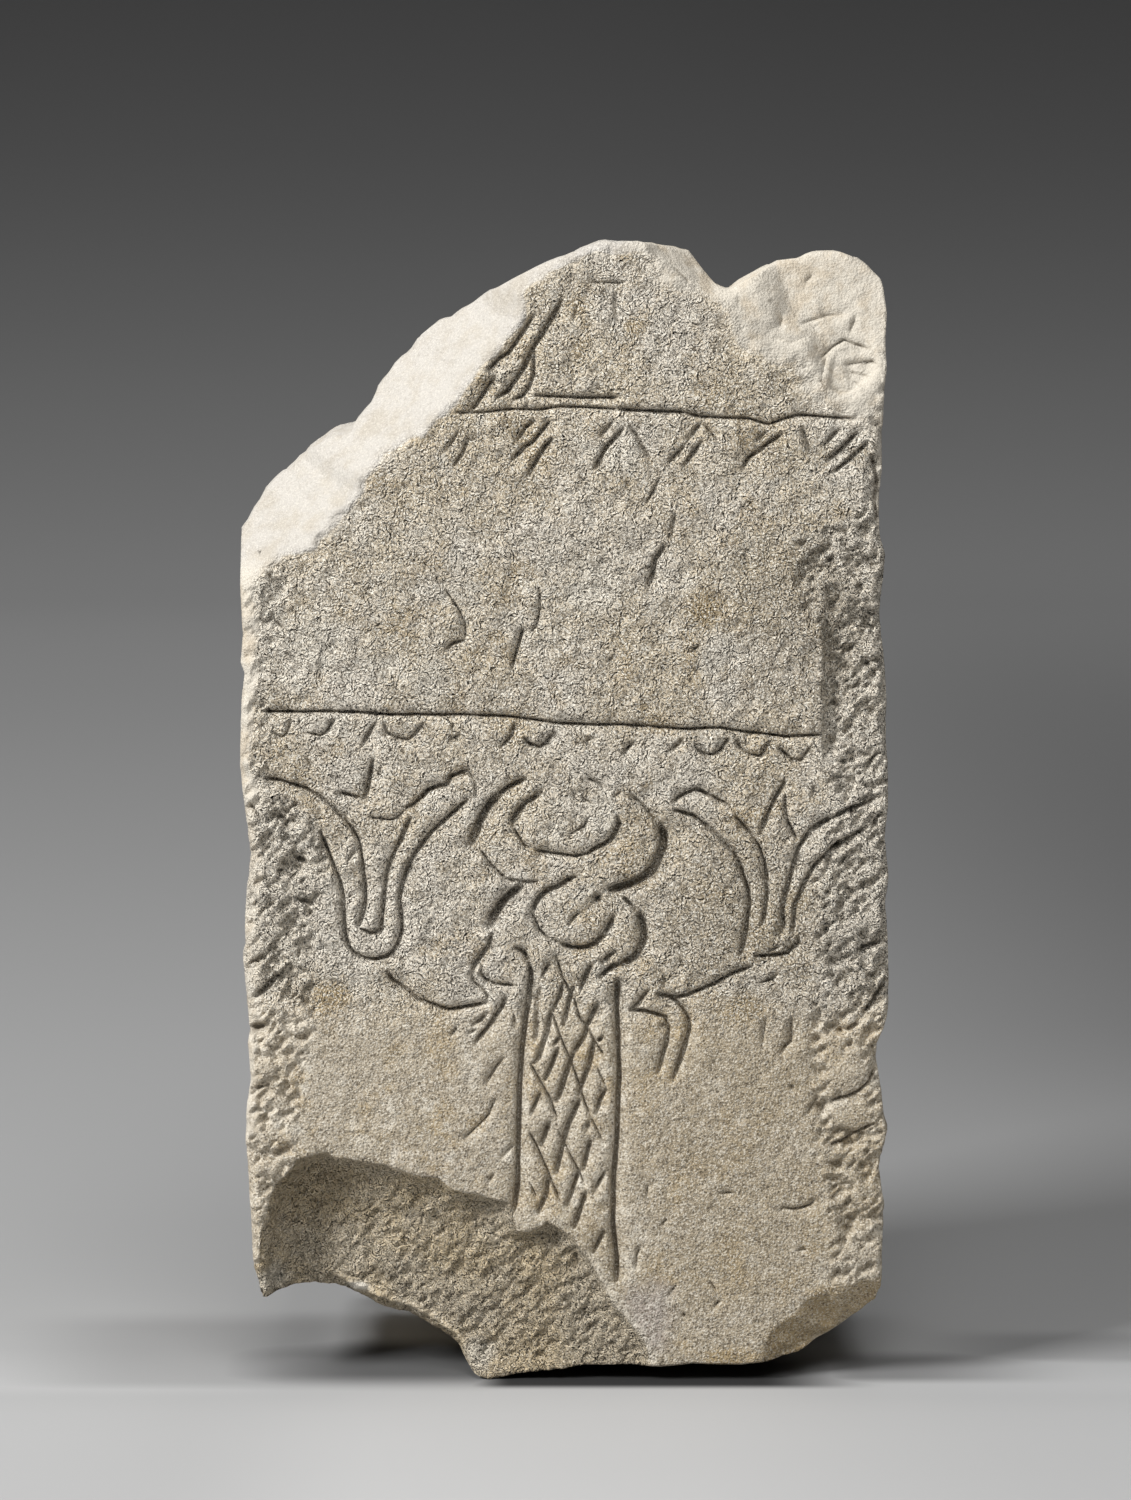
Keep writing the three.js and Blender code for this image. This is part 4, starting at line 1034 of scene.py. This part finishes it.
class Nodes:
    """Short calls for wiring one material."""

    def __init__(self, name):
        self.material = bpy.data.materials.new(name)
        self.material.use_nodes = True
        self.tree = self.material.node_tree
        self.shader = self.tree.nodes["Principled BSDF"]
        self.place = self.node("TexCoord").outputs["Object"]

    def set(self, socket, value):
        if isinstance(value, bpy.types.NodeSocket):
            self.tree.links.new(value, socket)
        else:
            socket.default_value = value

    def node(self, kind, **inputs):
        """A new node with some inputs set. An underscore stands for the space in an input's name."""
        node = self.tree.nodes.new("ShaderNode" + kind)
        for name, value in inputs.items():
            self.set(node.inputs[name.replace("_", " ")], value)
        return node

    def noise(self, size, detail, rough_share=0.55):
        """Noise with features about size millimetres wide."""
        node = self.node("TexNoise", Scale=1 / (size * MM), Detail=detail, Roughness=rough_share,
                         Vector=self.place)
        return node.outputs["Fac"]

    def cells(self, size):
        """Distance to the nearest of scattered points about size millimetres apart."""
        node = self.node("TexVoronoi", Scale=1 / (size * MM), Vector=self.place)
        return node.outputs["Distance"]

    def share(self, name):
        """A finish that paint has written."""
        node = self.node("Attribute")
        node.attribute_name = name
        return node.outputs["Fac"]

    def math(self, operation, a, b):
        node = self.node("Math")
        node.operation = operation
        self.set(node.inputs[0], a)
        self.set(node.inputs[1], b)
        return node.outputs[0]

    def times(self, a, b):
        return self.math("MULTIPLY", a, b)

    def less(self, a, part=1.0):
        """1 less a part of a."""
        return self.math("SUBTRACT", 1.0, self.times(a, part))

    def ramp(self, value, low, high, start=0.0, end=1.0):
        """Value carried from low..high to start..end, held at both ends."""
        node = self.node("MapRange", Value=value, From_Min=low, From_Max=high, To_Min=start, To_Max=end)
        node.interpolation_type = "SMOOTHSTEP"
        return node.outputs["Result"]

    def mix(self, share, a, b):
        """Colour a with a share of colour b over it."""
        node = self.node("Mix")
        node.data_type = "RGBA"
        for name, value in (("Factor", share), ("A", a), ("B", b)):
            self.set(node.inputs[name], value)
        return node.outputs["Result"]

    def wash(self, colour, name, strength, over):
        """A colour with another one over it where a finish is painted."""
        return self.mix(self.times(self.share(name), strength), colour, over)

    def matt(self, colour, roughness, shine):
        self.set(self.shader.inputs["Base Color"], colour)
        self.shader.inputs["Roughness"].default_value = roughness
        self.shader.inputs["Specular IOR Level"].default_value = shine


def stone_colour(n):
    """Grey-beige stone with pale, dark and ochre clouds, cream where it is freshly broken, brown in
    the hollow, and dirt with painted shade in the cuts."""
    clouds, patches = n.noise(26, 5.0, 0.6), n.noise(7, 4.0)
    body = n.mix(n.ramp(clouds, 0.38, 0.62), STONE_GREY, STONE_BEIGE)
    body = n.wash(body, "smooth_face", 0.85, STONE_LOW)
    body = n.mix(n.ramp(patches, 0.5, 0.72, 0.0, 0.62), body, STONE_DARK)
    body = n.mix(n.ramp(patches, 0.47, 0.29, 0.0, 0.8), body, PALE_GREY)
    body = n.mix(n.ramp(n.noise(12, 5.0, 0.65), 0.5, 0.68, 0.0, 0.6), body, OCHRE)
    for name, strength, colour in WASHES:
        body = n.wash(body, name, strength, colour)
    broken = n.mix(n.ramp(patches, 0.4, 0.7), FRESH_CREAM, FRESH_BEIGE)
    crest = n.mix(n.ramp(patches, 0.45, 0.65), CREST_CREAM, CREST_BEIGE)
    broken = n.mix(n.share("crest"), broken, crest)
    deep = n.mix(n.ramp(clouds, 0.4, 0.6), HOLLOW_BROWN, HOLLOW_GREY)
    body = n.mix(n.ramp(n.share("fresh"), 0.35, 0.65), body, broken)
    body = n.mix(n.ramp(n.share("hollow"), 0.35, 0.65), body, deep)
    body = n.wash(body, "pale", 0.7, PALE_GREY)
    # dirt with painted shade darkens the cuts
    return n.wash(body, "cut", 0.55, DIRT_AND_SHADE)


def stone_relief(n, fresh, hollow, low, pore, dimple):
    """Fine grains with pores and dimples between them, over coarser unevenness: weaker on fresh and
    smooth stone, and stronger in the hollow and the bands."""
    strength = n.times(n.less(fresh, 0.75), n.less(low, 0.6))
    wilder = n.math("ADD", n.times(hollow, 0.5), n.times(n.share("rough_band"), 0.3))
    strength = n.times(strength, n.math("ADD", 1.0, wilder))
    grains = n.cells(0.72)
    domes = n.times(n.times(grains, grains), -0.3)
    height = n.math("ADD", n.times(n.noise(0.56, 1.0, 0.6), 0.95), domes)
    height = n.math("SUBTRACT", height, n.times(pore, 0.35))
    height = n.math("SUBTRACT", height, n.times(dimple, 0.3))
    fine = n.node("Bump", Height=height, Distance=1.9 * MM, Strength=strength).outputs["Normal"]
    waves = n.noise(3.2, 1.0, 0.5)
    coarse = n.node("Bump", Height=waves, Distance=2.0 * MM, Strength=strength, Normal=fine)
    return coarse.outputs["Normal"]


def limestone():
    """Weathered limestone, matt, with dark and light grains that also paint fine shade and highlights,
    and pores and dimples darkened with dirt and painted shade.
    """
    n = Nodes("weathered_limestone")
    fresh, hollow, low = n.share("fresh"), n.share("hollow"), n.share("smooth_face")
    body = stone_colour(n)
    calm = n.less(n.math("MAXIMUM", fresh, n.times(hollow, 0.75)), 0.8)
    # dark grains that also paint the fine shade of the grit
    dark_grain_and_shade = n.ramp(n.noise(0.95, 3.0, 0.65), 0.37, 0.47, 0.65, 0.0)
    body = n.mix(n.times(dark_grain_and_shade, calm), body, DIRT_AND_SHADE)
    # light grains that also paint highlights on the grit
    light_grain_and_highlight = n.times(n.ramp(n.noise(0.5, 1.0, 0.5), 0.52, 0.61, 0.0, 0.8), calm)
    body = n.mix(n.times(light_grain_and_highlight, n.less(low, 0.45)), body, PALE_GRAIN_AND_HIGHLIGHT)
    porous = n.math("MAXIMUM", n.times(low, 0.9), n.ramp(n.noise(10, 2.0), 0.5, 0.62, 0.0, 0.8))
    pore = n.ramp(n.cells(1.7), 0.22, 0.12, 0.0, 0.9)
    pore = n.times(pore, n.times(porous, n.less(fresh)))
    # pores darkened with dirt and painted shade
    body = n.mix(pore, body, DIRT_AND_SHADE)
    dimple = n.times(n.ramp(n.cells(1.15), 0.34, 0.16), calm)
    # dimples darkened with dirt and painted shade
    body = n.mix(n.times(dimple, 0.5), body, DIRT_AND_SHADE)
    n.matt(body, 0.94, 0.25)
    n.set(n.shader.inputs["Normal"], stone_relief(n, fresh, hollow, low, pore, dimple))
    return n.material


def make_stone():
    """The stele, cut down to the triangles that its shape needs."""
    points, quads, triangles = stone_points()
    points[:, 0] -= DRAWN_MIDDLE
    mesh = build_mesh("stele_stone", points * MM, quads, triangles)
    stone = bpy.data.objects.new("stele_stone", mesh)
    bpy.context.scene.collection.objects.link(stone)
    cut = stone.modifiers.new("thin_out", "DECIMATE")
    cut.ratio = KEPT_TRIANGLES / (2 * len(quads) + len(triangles))
    graph = bpy.context.evaluated_depsgraph_get()
    thinned = bpy.data.meshes.new_from_object(stone.evaluated_get(graph))
    stone.modifiers.clear()
    stone.data = thinned
    thinned.name = "stele_stone"
    thinned.shade_smooth()
    paint(thinned)
    thinned.materials.append(limestone())
    return stone


def floor_spot(n, across, away, sideways, inwards, strength):
    """A soft-edged box painted on the floor as shade or light: each of its two widths rises and
    falls between four distances.
    """
    wide = n.times(n.ramp(across, *sideways[:2]), n.ramp(across, *sideways[2:], 1.0, 0.0))
    deep = n.times(n.ramp(away, *inwards[:2]), n.ramp(away, *inwards[2:], 1.0, 0.0))
    return n.times(n.times(wide, deep), strength)


def studio_paper():
    """Matt grey paper with painted light: greys by distance that stand in for the light's falloff,
    painted dimming behind the stele at the right, and painted soft shades and a lit place.
    """
    n = Nodes("studio_paper")
    split = n.node("SeparateXYZ", Vector=n.place)
    across, away = split.outputs["X"], split.outputs["Y"]
    along = n.math("DIVIDE", n.math("SUBTRACT", away, PAPER_START), PAPER_LENGTH)
    # painted light falloff: greys by distance
    tones = n.node("ValToRGB", Fac=along)
    tones.color_ramp.interpolation = "B_SPLINE"
    stops = tones.color_ramp.elements
    while len(stops) < len(PAPER_FALLOFF_TONES):
        stops.new(1.0)
    for stop, (reach, tone) in zip(stops, PAPER_FALLOFF_TONES):
        stop.position = (reach - PAPER_START) / PAPER_LENGTH
        stop.color = (tone, tone, tone, 1)
    # painted dimming where the light falls off behind the stele at the right
    behind = n.times(n.ramp(away, -0.05, 0.45), n.ramp(away, 0.6, 2.4, 1.0, 0.14))
    dim = n.times(n.ramp(across, -0.1, 0.33, 0.0, 0.5), behind)
    paper = n.mix(dim, tones.outputs["Color"], BLACK)
    # painted shadows of the stele on the paper
    shade = 0.0
    for spot in PAINTED_FLOOR_SHADES:
        shade = n.math("MAXIMUM", shade, floor_spot(n, across, away, *spot))
    paper = n.mix(shade, paper, BLACK)
    # painted light on the paper under the overhang
    paper = n.mix(floor_spot(n, across, away, *PAINTED_FLOOR_GLOW), paper, WHITE)
    n.matt(paper, 0.85, 0.2)
    return n.material


def make_floor():
    """The floor and the backdrop as one sheet: a profile of floor, quarter circle and wall, carried
    along x."""
    turn = np.linspace(0, math.pi / 2, 41)
    flat = np.linspace(-FLOOR_REACH, SWEEP_START, 30)
    sweep = [SWEEP_START + SWEEP_RADIUS * np.sin(turn), SWEEP_RADIUS * (1 - np.cos(turn))]
    profile = np.concatenate([
        np.stack([flat, np.zeros(len(flat))], -1), np.stack(sweep, -1)[1:],
        [[SWEEP_START + SWEEP_RADIUS, BACKDROP_HEIGHT]],
    ])
    across = np.linspace(-FLOOR_REACH, FLOOR_REACH, 25)
    points = np.array([[x, y, z] for x in across for y, z in profile])
    quads = grid_quads(len(across) - 1, len(profile) - 1)
    mesh = build_mesh("studio_floor", points, quads, np.zeros((0, 3), int))
    mesh.shade_smooth()
    mesh.materials.append(studio_paper())
    floor = bpy.data.objects.new("studio_floor", mesh)
    bpy.context.scene.collection.objects.link(floor)


def make_light(name, place, target, size, power):
    """A square soft light at a place, turned towards a target."""
    light = bpy.data.lights.new(name, "AREA")
    light.shape = "SQUARE"
    light.size = size
    light.energy = power
    lamp = bpy.data.objects.new(name, light)
    lamp.location = place
    x, y, z = np.array(target) - np.array(place)
    lamp.rotation_euler = (math.pi / 2 + math.atan2(z, math.hypot(x, y)), 0, math.atan2(-x, y))
    bpy.context.scene.collection.objects.link(lamp)


def make_studio():
    """Raking key light from the upper left, a weak fill from the right, a grey room and the camera."""
    for light in LIGHTS:
        make_light(*light)
    world = bpy.data.worlds.new("studio_air")
    bpy.context.scene.world = world
    world.use_nodes = True
    air = world.node_tree.nodes["Background"]
    air.inputs["Color"].default_value = WHITE
    air.inputs["Strength"].default_value = AIR_STRENGTH
    bpy.context.scene.view_settings.view_transform = "Standard"

    lens = bpy.data.cameras.new("photo_camera")
    lens.lens = CAMERA_LENS
    lens.sensor_width = CAMERA_SENSOR
    camera = bpy.data.objects.new("photo_camera", lens)
    camera.location = CAMERA_PLACE
    camera.rotation_euler = (math.radians(CAMERA_TILT), 0, 0)
    bpy.context.scene.collection.objects.link(camera)
    bpy.context.scene.camera = camera


stone = make_stone()
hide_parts("stele_block")
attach(stone, "root")
make_floor()
make_studio()
